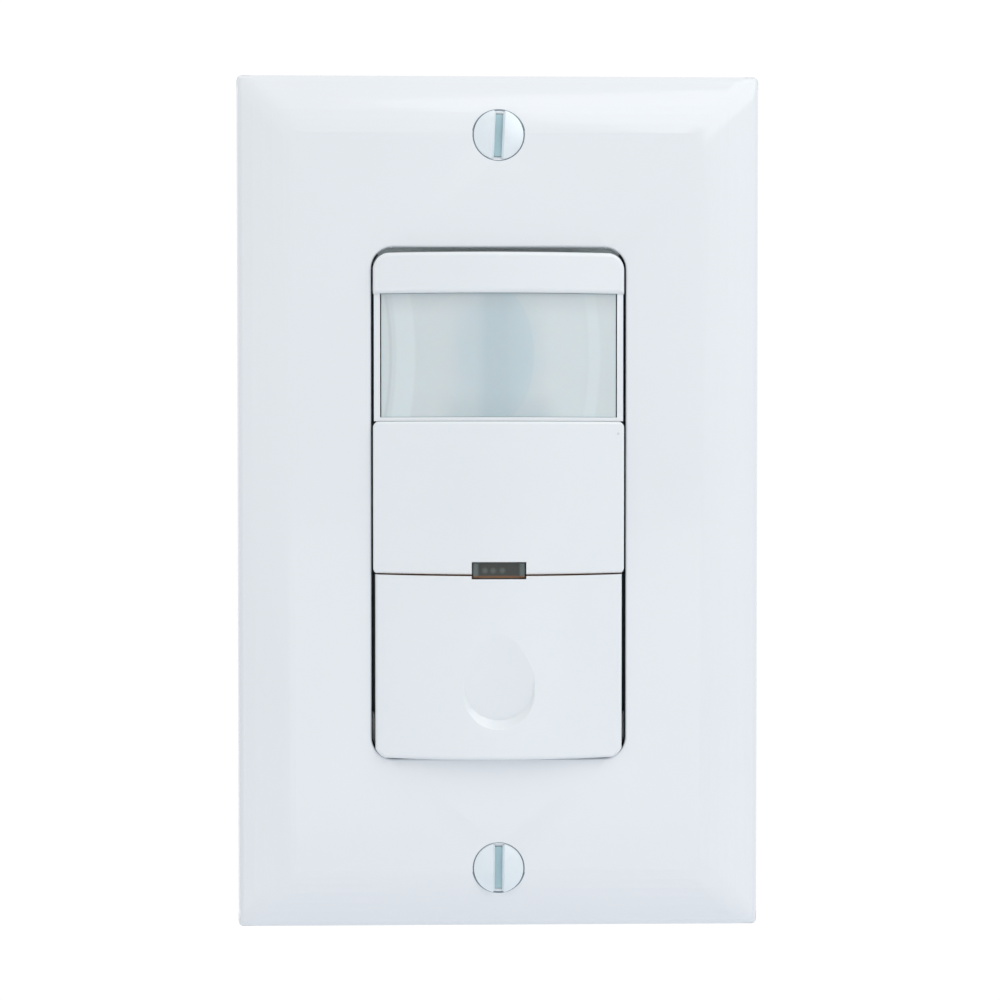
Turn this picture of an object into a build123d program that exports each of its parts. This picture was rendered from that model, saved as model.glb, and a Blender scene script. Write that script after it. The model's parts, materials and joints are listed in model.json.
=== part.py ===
from build123d import *
import math
import os

# One-gang wall switch with a motion sensor, millimetres.
# X runs to the right, +Y into the wall, +Z up. The wall's face is Y = 0.
# The origin is midway between the two box screw slots of the strap.

# Wall plate
PLATE_WIDTH = 70.0
PLATE_HEIGHT = 114.0
PLATE_DEPTH = 6.0
PLATE_WALL = 2.2
PLATE_BEVEL = 8.3
PLATE_EDGE_HEIGHT = 2.0
PLATE_EDGE_DRAFT = 0.15
PLATE_SHOULDER = 1.3
PLATE_SHOULDER_RISE = 1.7
PLATE_CORNER_RADIUS = 1.0
OPENING_WIDTH = 33.6
OPENING_TOP = 33.7
OPENING_BOTTOM = -33.88
OPENING_RADIUS = 2.9
OPENING_EDGE_CHAMFER = 0.22
OPENING_LIP_WALL = 1.1
OPENING_LIP_BACK = 3.35
PLATE_RIB_WIDTH = 1.2
PLATE_RIB_HALF_LENGTH = 24.0
PLATE_RIB_X = 28.2

# Wall plate screws, number 6-32 with an oval head
PLATE_SCREW_SPACING = 96.84
PLATE_SCREW_HEAD_RADIUS = 3.28
PLATE_SCREW_DOME = 0.5
PLATE_SCREW_LENGTH = 12.0
PLATE_SCREW_SLOT = 1.0
PLATE_SCREW_SLOT_DEPTH = 1.1
PLATE_SCREW_LIP = 0.28
PLATE_SCREW_TURN_TOP = 2.5
PLATE_SCREW_TURN_BOTTOM = 0.5
THREAD_RADIUS = 1.75
THREAD_HOLE_RADIUS = 1.78
COUNTERSINK_HALF_ANGLE = 41.0
PLATE_BOSS_RADIUS = 4.6

# Mounting strap
STRAP_THICKNESS = 1.5
STRAP_HEIGHT = 106.0
STRAP_BODY_WIDTH = 42.0
STRAP_BODY_HALF_HEIGHT = 37.0
STRAP_NECK_WIDTH = 24.0
STRAP_EAR_WIDTH = 44.5
STRAP_EAR_INNER_Z = 43.6
STRAP_EAR_RADIUS = 4.0
STRAP_FILLET = 1.5
STRAP_WINDOW_HALF_WIDTH = 16.3
STRAP_WINDOW_TOP = 29.2
STRAP_WINDOW_BOTTOM = -28.6
STRAP_GROOVE_X = 9.5
STRAP_GROOVE_DEPTH = 0.5
BOX_SCREW_SPACING = 83.34
BOX_SLOT_WIDTH = 4.4
BOX_SLOT_LENGTH = 7.4
EARTH_TAB_X = -9.5
EARTH_TAB_WIDTH = 9.0
EARTH_TAB_LENGTH = 9.5
EARTH_TAB_Z = -36.4
EARTH_SCREW_DEPTH = 5.0

# Face of the device, seen from the front
FACE_WIDTH = 33.07
FACE_TOP = 32.85
FACE_BOTTOM = -33.73
FACE_CREST = 8.4
FACE_SAGITTA = 1.8
FACE_CROWN_RADIUS = ((FACE_WIDTH / 2) ** 2 + FACE_SAGITTA ** 2) / (2 * FACE_SAGITTA)
FACE_CORNER_RADIUS = 2.2
FACE_EDGE_RADIUS = 0.55

# Front bezel
FLOOR_BACK = 1.5
FLOOR_FRONT = 3.2
FLOOR_HALF_WIDTH = 16.3
FLOOR_BOTTOM = -33.4
FLOOR_TOP = 32.7
FLOOR_RADIUS = 2.2
LUG_FRONT = 3.05
LUG_WEB_FRONT = 2.4
LUG_WEB_HALF_HEIGHT = 1.6
LUG_HALF_WIDTH = 2.45
CAP_BOTTOM = 27.5
FRAME_WIDTH = 32.84
FRAME_CREST = 7.9
LENS_WINDOW_HALF_WIDTH = 15.6
LENS_WINDOW_BOTTOM = 11.25
LENS_BAR_BOTTOM = 10.75
LENS_REBATE_FRONT = 4.45
LENS_REBATE_TOP = 28.9
LENS_REBATE_BOTTOM = 9.9
DECK_FRONT = 5.0
DECK_HALF_WIDTH = 16.2
DECK_BOTTOM = -9.1
CAP_CORE_TOP = 31.5
CAP_CORE_BOTTOM = 29.9
CAP_CORE_FRONT = 6.4

# Sensor lens
LENS_HALF_WIDTH = 15.45
LENS_TOP = 27.46
LENS_BOTTOM = 11.29
LENS_CREST = 7.7
LENS_WALL = 0.7
LENS_RIM_TOP = 28.7
LENS_RIM_BOTTOM = 10.1
LENS_RIM_FRONT = 4.4
LENS_RIM_BACK = 3.6
LENS_CELL_COLUMNS = 6
LENS_CELL_ROWS = 2
LENS_CELL_GROOVE = 0.22

# Middle cover
COVER_TOP = 10.7
COVER_BOTTOM = -9.38
COVER_BOW = 0.17
COVER_BACK = 5.1
COVER_WALL = 1.3
COVER_CORNER_RADIUS = 0.8
COVER_EDGE_RADIUS = 0.35
COVER_LEG_X = 14.7
COVER_LEG_THICKNESS = 1.2
COVER_LEG_WIDTH = 2.8
COVER_LEG_BACK = 1.9
COVER_LEG_ROWS = (6.6, -4.4)
LEG_SLOT_GAP = 0.15
NOTCH_HALF_WIDTH = 3.575
NOTCH_TOP = -7.72
NOTCH_BOTTOM = -9.98

# Smoked indicator window: a cap on a low tower, with a shaft down to the lights
TOWER_HALF_WIDTH = 3.45
TOWER_TOP = -7.82
TOWER_BOTTOM = -9.85
TOWER_FRONT = 6.6
WINDOW_SHAFT_HALF_WIDTH = 2.95
WINDOW_SHAFT_TOP = -8.1
WINDOW_SHAFT_BOTTOM = -9.6
WINDOW_FRONT = 7.75
WINDOW_BACK = 1.3
WINDOW_PANE_HALF_WIDTH = 2.8
WINDOW_PANE_DEPTH = 0.3

# Push button
BUTTON_BASE_HALF_WIDTH = 16.45
BUTTON_BACK = 4.1
BUTTON_DRAFT = 5.0
BUTTON_WALL = 1.5
BUTTON_GAP = 0.18
BUTTON_BOTTOM_BOW = 0.15
POST_HOLE_RADIUS = 2.5
BUTTON_RIB_WIDTH = 0.9
BUTTON_POST_RADIUS = 2.2
HINGE_Y = -4.35
HINGE_Z = -6.6
HINGE_PIN_RADIUS = 0.7
HINGE_BORE_RADIUS = 0.75
HINGE_ARM_X = 8.0
HINGE_ARM_WIDTH = 2.0
HINGE_ARM_THICKNESS = 1.2
HINGE_ARM_END_RADIUS = 0.9
HINGE_PIN_END = 10.9
HINGE_EAR_NEAR = 9.25
HINGE_EAR_FAR = 11.4
HINGE_EAR_FRONT = 5.6
HINGE_EAR_HALF_HEIGHT = 1.15
HINGE_POCKET_NEAR = 6.6
HINGE_POCKET_TOP = -5.0

# Thumb scoop in the button: sloping walls round its lower end, a floor that runs out at the top
SCOOP_Z = -24.9
SCOOP_HALF_WIDTH = 4.85
SCOOP_DEEP_Z = -27.2
SCOOP_DEPTH = 0.75
SCOOP_TOP_Z = -18.5
SCOOP_WALL_SLOPE = 50.0
SCOOP_FLOOR_RADIUS = 34.0

# Sensor board and what stands on it
BOARD_FRONT_Y = 5.0
BOARD_THICKNESS = 1.4
BOARD_HALF_WIDTH = 17.5
BOARD_HALF_HEIGHT = 30.0
BOARD_NOTCH = 3.6
PYRO_Z = 19.4
PYRO_CAN_RADIUS = 4.1
PYRO_FLANGE_RADIUS = 4.6
PYRO_HEIGHT = 4.4
PYRO_FLANGE_HEIGHT = 0.6
PYRO_WINDOW_WIDTH = 4.4
PYRO_WINDOW_HEIGHT = 3.6
PYRO_WINDOW_DEPTH = 0.6
LIGHT_Z = -9.02
LED_X = 1.6
LED_RADIUS = 1.4
TACT_Z = -24.0
TACT_SIZE = 6.2
TACT_HEIGHT = 3.4
TACT_PLUNGER_RADIUS = 1.7
TACT_PLUNGER_FRONT = 3.5
TACT_BORE_RADIUS = 1.75
TACT_BORE_DEPTH = 1.3
POST_GAP = 0.1

# Setting dials
DIAL_Z = 1.5
DIAL_PITCH = 9.5
DIAL_RADIUS = 2.3
DIAL_HOLE_RADIUS = 2.5
DIAL_FRONT = 5.9
DIAL_SHOULDER_Y = -2.2
DIAL_SHAFT_RADIUS = 1.2
DIAL_BORE_RADIUS = 1.25
DIAL_BORE_DEPTH = 1.4
DIAL_GAP = 0.1
TRIMMER_SIZE = 6.4
TRIMMER_HEIGHT = 3.6

# Return springs: bent strips, each a foot on the floor and an arm up to the pad
SPRING_X = 10.8
SPRING_WIDTH = 3.2
SPRING_STRIP = 0.3
SPRING_FOOT_END_Z = -31.9
SPRING_BEND_Z = -30.1
SPRING_TIP_Z = -25.3
SPRING_PAD_GAP = 0.1
SPRING_STAKE_HALF = 0.6
SPRING_STAKE_HEIGHT = 0.7

# Sensor shroud
SHROUD_FRONT_HALF_WIDTH = 15.4
SHROUD_FRONT_HALF_HEIGHT = 9.1
SHROUD_BACK_HALF = 5.9
SHROUD_BACK_Y = 3.4
SHROUD_WALL = 0.9
SHROUD_CORNER = 1.2

# Rear housing
HOUSING_WIDTH = 43.0
HOUSING_HEIGHT = 68.0
HOUSING_DEPTH = 28.0
HOUSING_WALL = 1.8
HOUSING_RADIUS = 3.0
HOUSING_EDGE_CHAMFER = 1.2
PILLAR_X = 18.5
PILLAR_Z = 30.6
PILLAR_RADIUS = 2.7
HOUSING_SCREW_RADIUS = 1.2
HOUSING_SCREW_BORE = 1.3
HOUSING_SCREW_TIP_Y = -2.8
HOUSING_SCREW_HEAD_RADIUS = 2.1
HOUSING_SCREW_HEAD_HEIGHT = 1.4
HOUSING_SCREW_HEAD_Y = 25.6
POWER_BOARD_Y = 22.6
BOARD_REST_WIDTH = 1.4
STRIP_GAUGE_LENGTH = 15.9
STRIP_GAUGE_WIDTH = 2.2
STRIP_GAUGE_DEPTH = 0.6

# Terminals, given as side and height
TERMINAL_PLACES = ((1, 9.0), (1, -9.0), (-1, 0.0))
TERMINAL_Y = 13.0
TERMINAL_POCKET_SIZE = 10.0
TERMINAL_POCKET_DEPTH = 3.2
TERMINAL_POCKET_WALL = 1.5
TERMINAL_PLATE_SIZE = 9.2
TERMINAL_PLATE_THICKNESS = 1.0
TERMINAL_HEAD_RADIUS = 3.7
TERMINAL_HEAD_HEIGHT = 1.8
TERMINAL_SLOT_WIDTH = 1.2

FRONT = Plane.XZ


def block(x0, x1, y0, y1, z0, z1):
    """Box between two opposite corners."""
    middle = Pos((x0 + x1) / 2, (y0 + y1) / 2, (z0 + z1) / 2)
    return middle * Box(abs(x1 - x0), abs(y1 - y0), abs(z1 - z0))


def round_box(x0, x1, y0, y1, z0, z1, radius):
    """Box with its four edges along Y rounded."""
    outline = Pos((x0 + x1) / 2, (z0 + z1) / 2) * RectangleRounded(x1 - x0, z1 - z0, radius)
    depth = abs(y1 - y0)
    return Pos(0, max(y0, y1), 0) * extrude(FRONT * outline, amount=depth)


def rod_y(x, z, radius, y0, y1):
    """Round bar along Y."""
    return Pos(x, (y0 + y1) / 2, z) * Rot(90, 0, 0) * Cylinder(radius, abs(y1 - y0))


def rod_x(y, z, radius, x0, x1):
    """Round bar along X."""
    return Pos((x0 + x1) / 2, y, z) * Rot(0, 90, 0) * Cylinder(radius, abs(x1 - x0))


def rod_z(x, y, radius, z0, z1):
    """Round bar along Z."""
    return Pos(x, y, (z0 + z1) / 2) * Cylinder(radius, abs(z1 - z0))


def crown(crest):
    """Everything behind a surface that is curved from side to side, its crest at Y = -crest."""
    return Pos(0, FACE_CROWN_RADIUS - crest, 0) * Cylinder(FACE_CROWN_RADIUS, 2 * PLATE_HEIGHT)


def bowed_region(edge_z, bow, far_z):
    """Slab along Y from far_z to an edge that sags by bow at its middle."""
    reach = FACE_WIDTH / 2 + 1
    ends = edge_z + bow
    edge = ThreePointArc((-reach, ends), (0, edge_z), (reach, ends))
    sides = Polyline((reach, ends), (reach, far_z), (-reach, far_z), (-reach, ends))
    region = make_face(edge + sides)
    return Pos(0, 1, 0) * extrude(FRONT * region, amount=FACE_CREST + 3)


def front_edges(solid, depth):
    """Edges that lie wholly in front of Y = -depth."""
    return [edge for edge in solid.edges() if edge.bounding_box().max.Y < -depth]


def plate_bar(half_span, depth, length):
    """Bar along Z with the wall plate's curved edge section."""
    foot = (half_span, 0)
    wall_top = (half_span - PLATE_EDGE_DRAFT, -(PLATE_EDGE_HEIGHT + depth - PLATE_DEPTH))
    shoulder_depth = PLATE_EDGE_HEIGHT + PLATE_SHOULDER_RISE + depth - PLATE_DEPTH
    shoulder = (half_span - PLATE_SHOULDER, -shoulder_depth)
    shoulder_middle = (half_span - 0.42 * PLATE_SHOULDER, -(shoulder_depth - 0.33 * PLATE_SHOULDER_RISE))
    slope_end = (half_span - PLATE_BEVEL, -depth)
    slope_middle = (half_span - 0.58 * PLATE_BEVEL, -(shoulder_depth + 0.66 * (depth - shoulder_depth)))

    def mirrored(point):
        return (-point[0], point[1])

    outline = Line(foot, wall_top)
    outline += ThreePointArc(wall_top, shoulder_middle, shoulder)
    outline += ThreePointArc(shoulder, slope_middle, slope_end)
    outline += Line(slope_end, mirrored(slope_end))
    outline += ThreePointArc(mirrored(slope_end), mirrored(slope_middle), mirrored(shoulder))
    outline += ThreePointArc(mirrored(shoulder), mirrored(shoulder_middle), mirrored(wall_top))
    outline += Line(mirrored(wall_top), mirrored(foot))
    outline += Line(mirrored(foot), foot)
    return extrude(make_face(outline), amount=length / 2, both=True)


def plate_body(inset):
    """Plate block with curved edges that meet in mitres, drawn in by inset."""
    depth = PLATE_DEPTH - inset
    upright = plate_bar(PLATE_WIDTH / 2 - inset, depth, PLATE_HEIGHT + 10)
    across = Rot(0, 90, 0) * plate_bar(PLATE_HEIGHT / 2 - inset, depth, PLATE_WIDTH + 10)
    return upright & across


def wall_plate():
    outline = round_box(
        -PLATE_WIDTH / 2, PLATE_WIDTH / 2, 0, -PLATE_DEPTH,
        -PLATE_HEIGHT / 2, PLATE_HEIGHT / 2, PLATE_CORNER_RADIUS,
    )
    body = plate_body(0) & outline
    shell = body - plate_body(PLATE_WALL)
    shell += opening_prism(OPENING_LIP_WALL, -OPENING_LIP_BACK, -PLATE_DEPTH + 0.5)
    for z in (PLATE_SCREW_SPACING / 2, -PLATE_SCREW_SPACING / 2):
        boss = rod_y(0, z, PLATE_BOSS_RADIUS, -STRAP_THICKNESS, -PLATE_DEPTH + 0.5)
        shell += boss & body
    for side in (-1, 1):
        rib_x = side * PLATE_RIB_X
        shell += block(
            rib_x - PLATE_RIB_WIDTH / 2, rib_x + PLATE_RIB_WIDTH / 2, -0.4, -PLATE_DEPTH + PLATE_WALL - 0.2,
            -PLATE_RIB_HALF_LENGTH, PLATE_RIB_HALF_LENGTH,
        )
    shell -= opening_prism(0, 1, -PLATE_DEPTH - 1)
    rim = [
        edge for edge in shell.edges()
        if edge.bounding_box().max.Y < -PLATE_DEPTH + 0.01
        and edge.bounding_box().max.X < OPENING_WIDTH / 2 + 0.1
        and edge.bounding_box().min.X > -OPENING_WIDTH / 2 - 0.1
        and edge.bounding_box().max.Z < OPENING_TOP + 0.1
        and edge.bounding_box().min.Z > OPENING_BOTTOM - 0.1
    ]
    shell = chamfer(rim, OPENING_EDGE_CHAMFER)
    for z in (PLATE_SCREW_SPACING / 2, -PLATE_SCREW_SPACING / 2):
        shell -= rod_y(0, z, THREAD_RADIUS + 0.25, 1, -PLATE_DEPTH - 1)
        shell -= countersink(z)
    return shell


def opening_prism(grow, y0, y1):
    """Prism through the plate's opening, grown outwards by grow."""
    half_width = OPENING_WIDTH / 2 + grow
    return round_box(
        -half_width, half_width, y0, y1, OPENING_BOTTOM - grow, OPENING_TOP + grow, OPENING_RADIUS + grow,
    )


def countersink(z):
    """Cone that the oval head sits in."""
    clearance = 0.2
    top = PLATE_SCREW_HEAD_RADIUS + clearance
    bottom = THREAD_RADIUS + 0.2
    depth = (top - bottom) / math.tan(math.radians(COUNTERSINK_HALF_ANGLE))
    cone = Rot(90, 0, 0) * Cone(bottom, top, depth)
    return Pos(0, -PLATE_DEPTH + depth / 2 - 0.01, z) * cone


def plate_screw(z, turn):
    """Oval head screw; turn is the angle of its slot from upright."""
    radius = PLATE_SCREW_HEAD_RADIUS
    cone_depth = (radius - THREAD_RADIUS) / math.tan(math.radians(COUNTERSINK_HALF_ANGLE))
    top = PLATE_SCREW_DOME
    tip = -PLATE_SCREW_LENGTH
    outline = Polyline((0, top), (0, tip), (THREAD_RADIUS - 0.5, tip), (THREAD_RADIUS, tip + 0.6))
    outline += Polyline((THREAD_RADIUS, tip + 0.6), (THREAD_RADIUS, -cone_depth), (radius, 0))
    outline += ThreePointArc((radius, 0), (radius * 0.55, top * 0.72), (0, top))
    screw = revolve(Plane.XZ * make_face(outline), Axis.Z)
    slot_floor = top - PLATE_SCREW_SLOT_DEPTH
    half = PLATE_SCREW_SLOT / 2
    screw -= block(-half, half, -radius - 1, radius + 1, slot_floor, top + 1)
    lips = [
        edge for edge in screw.edges()
        if abs(abs(edge.center().X) - half) < 0.01 and edge.bounding_box().max.Z > slot_floor + 0.3
        and edge.length > radius
    ]
    screw = chamfer(lips, PLATE_SCREW_LIP)
    return Pos(0, -PLATE_DEPTH + 0.05, z) * Rot(0, turn, 0) * Rot(90, 0, 0) * screw


def plate_screws():
    top = plate_screw(PLATE_SCREW_SPACING / 2, PLATE_SCREW_TURN_TOP)
    bottom = plate_screw(-PLATE_SCREW_SPACING / 2, PLATE_SCREW_TURN_BOTTOM)
    return Compound([top, bottom])


def mounting_strap():
    half_height = STRAP_HEIGHT / 2
    body = Rectangle(STRAP_BODY_WIDTH, 2 * STRAP_BODY_HALF_HEIGHT)
    neck = Rectangle(STRAP_NECK_WIDTH, 2 * half_height - 2)
    outline = body + neck
    corners = [v for v in outline.vertices() if abs(abs(v.Y) - STRAP_BODY_HALF_HEIGHT) < 0.01]
    outline = fillet(corners, STRAP_FILLET)
    ear_height = half_height - STRAP_EAR_INNER_Z
    for side in (1, -1):
        ear_z = side * (STRAP_EAR_INNER_Z + ear_height / 2)
        outline += Pos(0, ear_z) * RectangleRounded(STRAP_EAR_WIDTH, ear_height, STRAP_EAR_RADIUS)
    window_height = STRAP_WINDOW_TOP - STRAP_WINDOW_BOTTOM
    window_middle = (STRAP_WINDOW_TOP + STRAP_WINDOW_BOTTOM) / 2
    outline -= Pos(0, window_middle) * RectangleRounded(2 * STRAP_WINDOW_HALF_WIDTH, window_height, 1.5)
    for side in (1, -1):
        outline -= Pos(0, side * BOX_SCREW_SPACING / 2) * SlotOverall(BOX_SLOT_LENGTH, BOX_SLOT_WIDTH)
        outline -= Pos(0, side * PLATE_SCREW_SPACING / 2) * Circle(THREAD_HOLE_RADIUS)
    for x in (PILLAR_X, -PILLAR_X):
        for z in (PILLAR_Z, -PILLAR_Z):
            outline -= Pos(x, z) * Circle(HOUSING_SCREW_BORE + 0.2)
    strap = extrude(FRONT * outline, amount=STRAP_THICKNESS)
    groove = Pos(0, -STRAP_THICKNESS, 0) * Rot(0, 0, 45) * Box(
        STRAP_GROOVE_DEPTH * math.sqrt(2), STRAP_GROOVE_DEPTH * math.sqrt(2), ear_height + 2
    )
    for x in (STRAP_GROOVE_X, -STRAP_GROOVE_X):
        for side in (1, -1):
            strap -= Pos(x, 0, side * (STRAP_EAR_INNER_Z + ear_height / 2)) * groove
    return strap + earth_tab()


def earth_tab():
    """Tab bent back from the strap's lower edge, with the tapped hole for the earth screw."""
    x0 = EARTH_TAB_X - EARTH_TAB_WIDTH / 2
    x1 = EARTH_TAB_X + EARTH_TAB_WIDTH / 2
    lower = EARTH_TAB_Z - STRAP_THICKNESS / 2
    upper = EARTH_TAB_Z + STRAP_THICKNESS / 2
    tab = block(x0, x1, -0.2, EARTH_TAB_LENGTH, lower, upper)
    corners = [e for e in tab.edges().filter_by(Axis.Z) if e.center().Y > EARTH_TAB_LENGTH - 0.1]
    tab = fillet(corners, 2.0)
    return tab - rod_z(EARTH_TAB_X, EARTH_SCREW_DEPTH, THREAD_HOLE_RADIUS, lower - 1, upper + 1)


def earth_screw():
    """Slotted hexagon washer head screw in the tab."""
    lower = EARTH_TAB_Z - STRAP_THICKNESS / 2
    washer = rod_z(0, 0, 3.9, 0, -0.7)
    hexagon = Pos(0, 0, -2.5) * extrude(RegularPolygon(3.2, 6), amount=2.0)
    hexagon = chamfer(hexagon.edges().group_by(Axis.Z)[0], 0.3)
    shank = rod_z(0, 0, THREAD_RADIUS, -0.1, 2.0)
    screw = washer + hexagon + shank
    screw -= block(-4, 4, -0.6, 0.6, -3, -1.6)
    return Pos(EARTH_TAB_X, EARTH_SCREW_DEPTH, lower) * screw


def dial_places():
    return (-DIAL_PITCH, 0, DIAL_PITCH)


def front_bezel():
    bezel = round_box(
        -FLOOR_HALF_WIDTH, FLOOR_HALF_WIDTH, -FLOOR_BACK, -FLOOR_FRONT, FLOOR_BOTTOM, FLOOR_TOP, FLOOR_RADIUS,
    )
    bezel += bezel_cap(FACE_WIDTH / 2)
    frame_half = FRAME_WIDTH / 2
    frame = block(-frame_half, frame_half, -FLOOR_BACK, -FACE_CREST, LENS_BAR_BOTTOM, CAP_BOTTOM + 0.6)
    bezel += frame & crown(FRAME_CREST)
    deck_top = LENS_BAR_BOTTOM + 0.2
    bezel += block(-DECK_HALF_WIDTH, DECK_HALF_WIDTH, -FLOOR_BACK, -DECK_FRONT, DECK_BOTTOM, deck_top)
    bezel -= block(
        -LENS_WINDOW_HALF_WIDTH, LENS_WINDOW_HALF_WIDTH, 0, -FACE_CREST - 1, LENS_WINDOW_BOTTOM, CAP_BOTTOM,
    )
    bezel -= block(
        -LENS_WINDOW_HALF_WIDTH, LENS_WINDOW_HALF_WIDTH, 0, -LENS_REBATE_FRONT,
        LENS_REBATE_BOTTOM, LENS_REBATE_TOP,
    )
    bezel -= block(
        -LENS_WINDOW_HALF_WIDTH + 1, LENS_WINDOW_HALF_WIDTH - 1, 0, -CAP_CORE_FRONT,
        CAP_CORE_BOTTOM, CAP_CORE_TOP,
    )
    for x in dial_places():
        bezel -= rod_y(x, DIAL_Z, DIAL_HOLE_RADIUS, 0, -DECK_FRONT - 1)
    bezel -= leg_slots()
    bezel = hinge_pockets(bezel)
    bezel = window_tower(bezel)
    bezel -= rod_y(0, TACT_Z, POST_HOLE_RADIUS, 0, -FLOOR_FRONT - 1)
    for x in (SPRING_X, -SPRING_X):
        bezel += spring_stake(x, SPRING_STAKE_HALF)
    for side in (1, -1):
        for z in (PILLAR_Z, -PILLAR_Z):
            bezel += screw_lug(side, z)
            bezel -= rod_y(side * PILLAR_X, z, HOUSING_SCREW_BORE, 0, -LUG_FRONT - 1)
    return bezel


def spring_stake(x, half):
    """Square stake on the floor that a spring's foot is pushed over."""
    z = (SPRING_FOOT_END_Z + SPRING_BEND_Z) / 2
    front = FLOOR_FRONT + SPRING_STAKE_HEIGHT
    return block(x - half, x + half, -FLOOR_FRONT + 0.3, -front, z - half, z + half)


def screw_lug(side, z):
    """Lug beside the floor that a housing screw holds, hidden by the wall plate."""
    x0, x1 = sorted((side * (FLOOR_HALF_WIDTH - 1), side * PILLAR_X))
    web = block(x0, x1, -FLOOR_BACK, -LUG_WEB_FRONT, z - LUG_WEB_HALF_HEIGHT, z + LUG_WEB_HALF_HEIGHT)
    x0, x1 = sorted((side * (PILLAR_X - LUG_HALF_WIDTH), side * (PILLAR_X + LUG_HALF_WIDTH)))
    lug = block(x0, x1, -FLOOR_BACK, -LUG_FRONT, z - LUG_HALF_WIDTH, z + LUG_HALF_WIDTH)
    return web + chamfer(lug.edges().filter_by(Axis.Y), 0.7)


def bezel_cap(half):
    """Crowned bar above the lens, its upper corners and front edges rounded."""
    cap = round_box(-half, half, -FLOOR_BACK, -FACE_CREST - 1, CAP_BOTTOM - 6, FACE_TOP, FACE_CORNER_RADIUS)
    cap &= crown(FACE_CREST)
    cap &= block(-half - 1, half + 1, 0, -FACE_CREST - 2, CAP_BOTTOM, FACE_TOP + 1)
    return fillet(front_edges(cap, FACE_CREST - FACE_SAGITTA - 0.2), FACE_EDGE_RADIUS)


def leg_slots():
    """Slots in the deck that the middle cover's legs push into."""
    slots = []
    thick = COVER_LEG_THICKNESS / 2 + LEG_SLOT_GAP
    wide = COVER_LEG_WIDTH / 2 + LEG_SLOT_GAP
    for side in (1, -1):
        for z in COVER_LEG_ROWS:
            x = side * COVER_LEG_X
            slots.append(block(x - thick, x + thick, 0, -DECK_FRONT - 1, z - wide, z + wide))
    return slots


def hinge_pockets(bezel):
    """Pockets in the deck for the button's arms, each with an ear bored for its pin."""
    for side in (1, -1):
        near = side * HINGE_POCKET_NEAR
        far = side * HINGE_EAR_FAR
        low, high = min(near, far), max(near, far)
        bezel -= block(low, high, -FLOOR_FRONT, -DECK_FRONT - 1, DECK_BOTTOM - 0.1, HINGE_POCKET_TOP)
        inner = side * HINGE_EAR_NEAR
        low, high = min(inner, far), max(inner, far)
        ear = block(
            low, high, -FLOOR_FRONT + 0.2, -HINGE_EAR_FRONT,
            HINGE_Z - HINGE_EAR_HALF_HEIGHT, HINGE_Z + HINGE_EAR_HALF_HEIGHT,
        )
        tops = [e for e in ear.edges().filter_by(Axis.X) if e.center().Y < -HINGE_EAR_FRONT + 0.1]
        bezel += fillet(tops, 0.6)
        bezel -= rod_x(HINGE_Y, HINGE_Z, HINGE_BORE_RADIUS, low - 0.5, high + 0.5)
    return bezel


def window_tower(bezel):
    """Small tower that carries the smoked window, with a shaft for the lights behind it."""
    bezel += block(
        -TOWER_HALF_WIDTH, TOWER_HALF_WIDTH, -FLOOR_FRONT + 0.2, -TOWER_FRONT, TOWER_BOTTOM, TOWER_TOP,
    )
    return bezel - block(
        -WINDOW_SHAFT_HALF_WIDTH, WINDOW_SHAFT_HALF_WIDTH, 0, -TOWER_FRONT - 1,
        WINDOW_SHAFT_BOTTOM, WINDOW_SHAFT_TOP,
    )


def sensor_lens():
    """Thin moulded sheet with a crowned front, a rim behind the bezel and grooved cells inside."""
    back = -LENS_RIM_BACK
    skin = block(-LENS_HALF_WIDTH, LENS_HALF_WIDTH, back, -FACE_CREST - 1, LENS_BOTTOM, LENS_TOP)
    skin &= crown(LENS_CREST)
    lens = skin + block(
        -LENS_HALF_WIDTH, LENS_HALF_WIDTH, back, -LENS_RIM_FRONT, LENS_RIM_BOTTOM, LENS_RIM_TOP,
    )
    hollow = block(
        -LENS_HALF_WIDTH + LENS_WALL, LENS_HALF_WIDTH - LENS_WALL, 0, -FACE_CREST - 1,
        LENS_BOTTOM + LENS_WALL, LENS_TOP - LENS_WALL,
    )
    lens -= hollow & crown(LENS_CREST - LENS_WALL)
    return lens - lens_grooves()


def lens_grooves():
    """Shallow grooves that part the lens into cells, cut into its inner face."""
    grooves = []
    inner_crest = LENS_CREST - LENS_WALL
    cut = crown(inner_crest + LENS_CELL_GROOVE) - crown(inner_crest - 0.5)
    width = 2 * (LENS_HALF_WIDTH - LENS_WALL)
    height = LENS_TOP - LENS_BOTTOM - 2 * LENS_WALL
    middle = (LENS_TOP + LENS_BOTTOM) / 2
    for column in range(1, LENS_CELL_COLUMNS):
        x = -width / 2 + column * width / LENS_CELL_COLUMNS
        strip = block(x - 0.1, x + 0.1, 0, -FACE_CREST, middle - height / 2, middle + height / 2)
        grooves.append(strip & cut)
    for row in range(1, LENS_CELL_ROWS):
        z = middle - height / 2 + row * height / LENS_CELL_ROWS
        strip = block(-width / 2, width / 2, 0, -FACE_CREST, z - 0.1, z + 0.1)
        grooves.append(strip & cut)
    return grooves


def notch():
    """Space that the window tower takes out of the cover's and the button's edges."""
    return block(-NOTCH_HALF_WIDTH, NOTCH_HALF_WIDTH, 0, -FACE_CREST - 1, NOTCH_BOTTOM, NOTCH_TOP)


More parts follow.
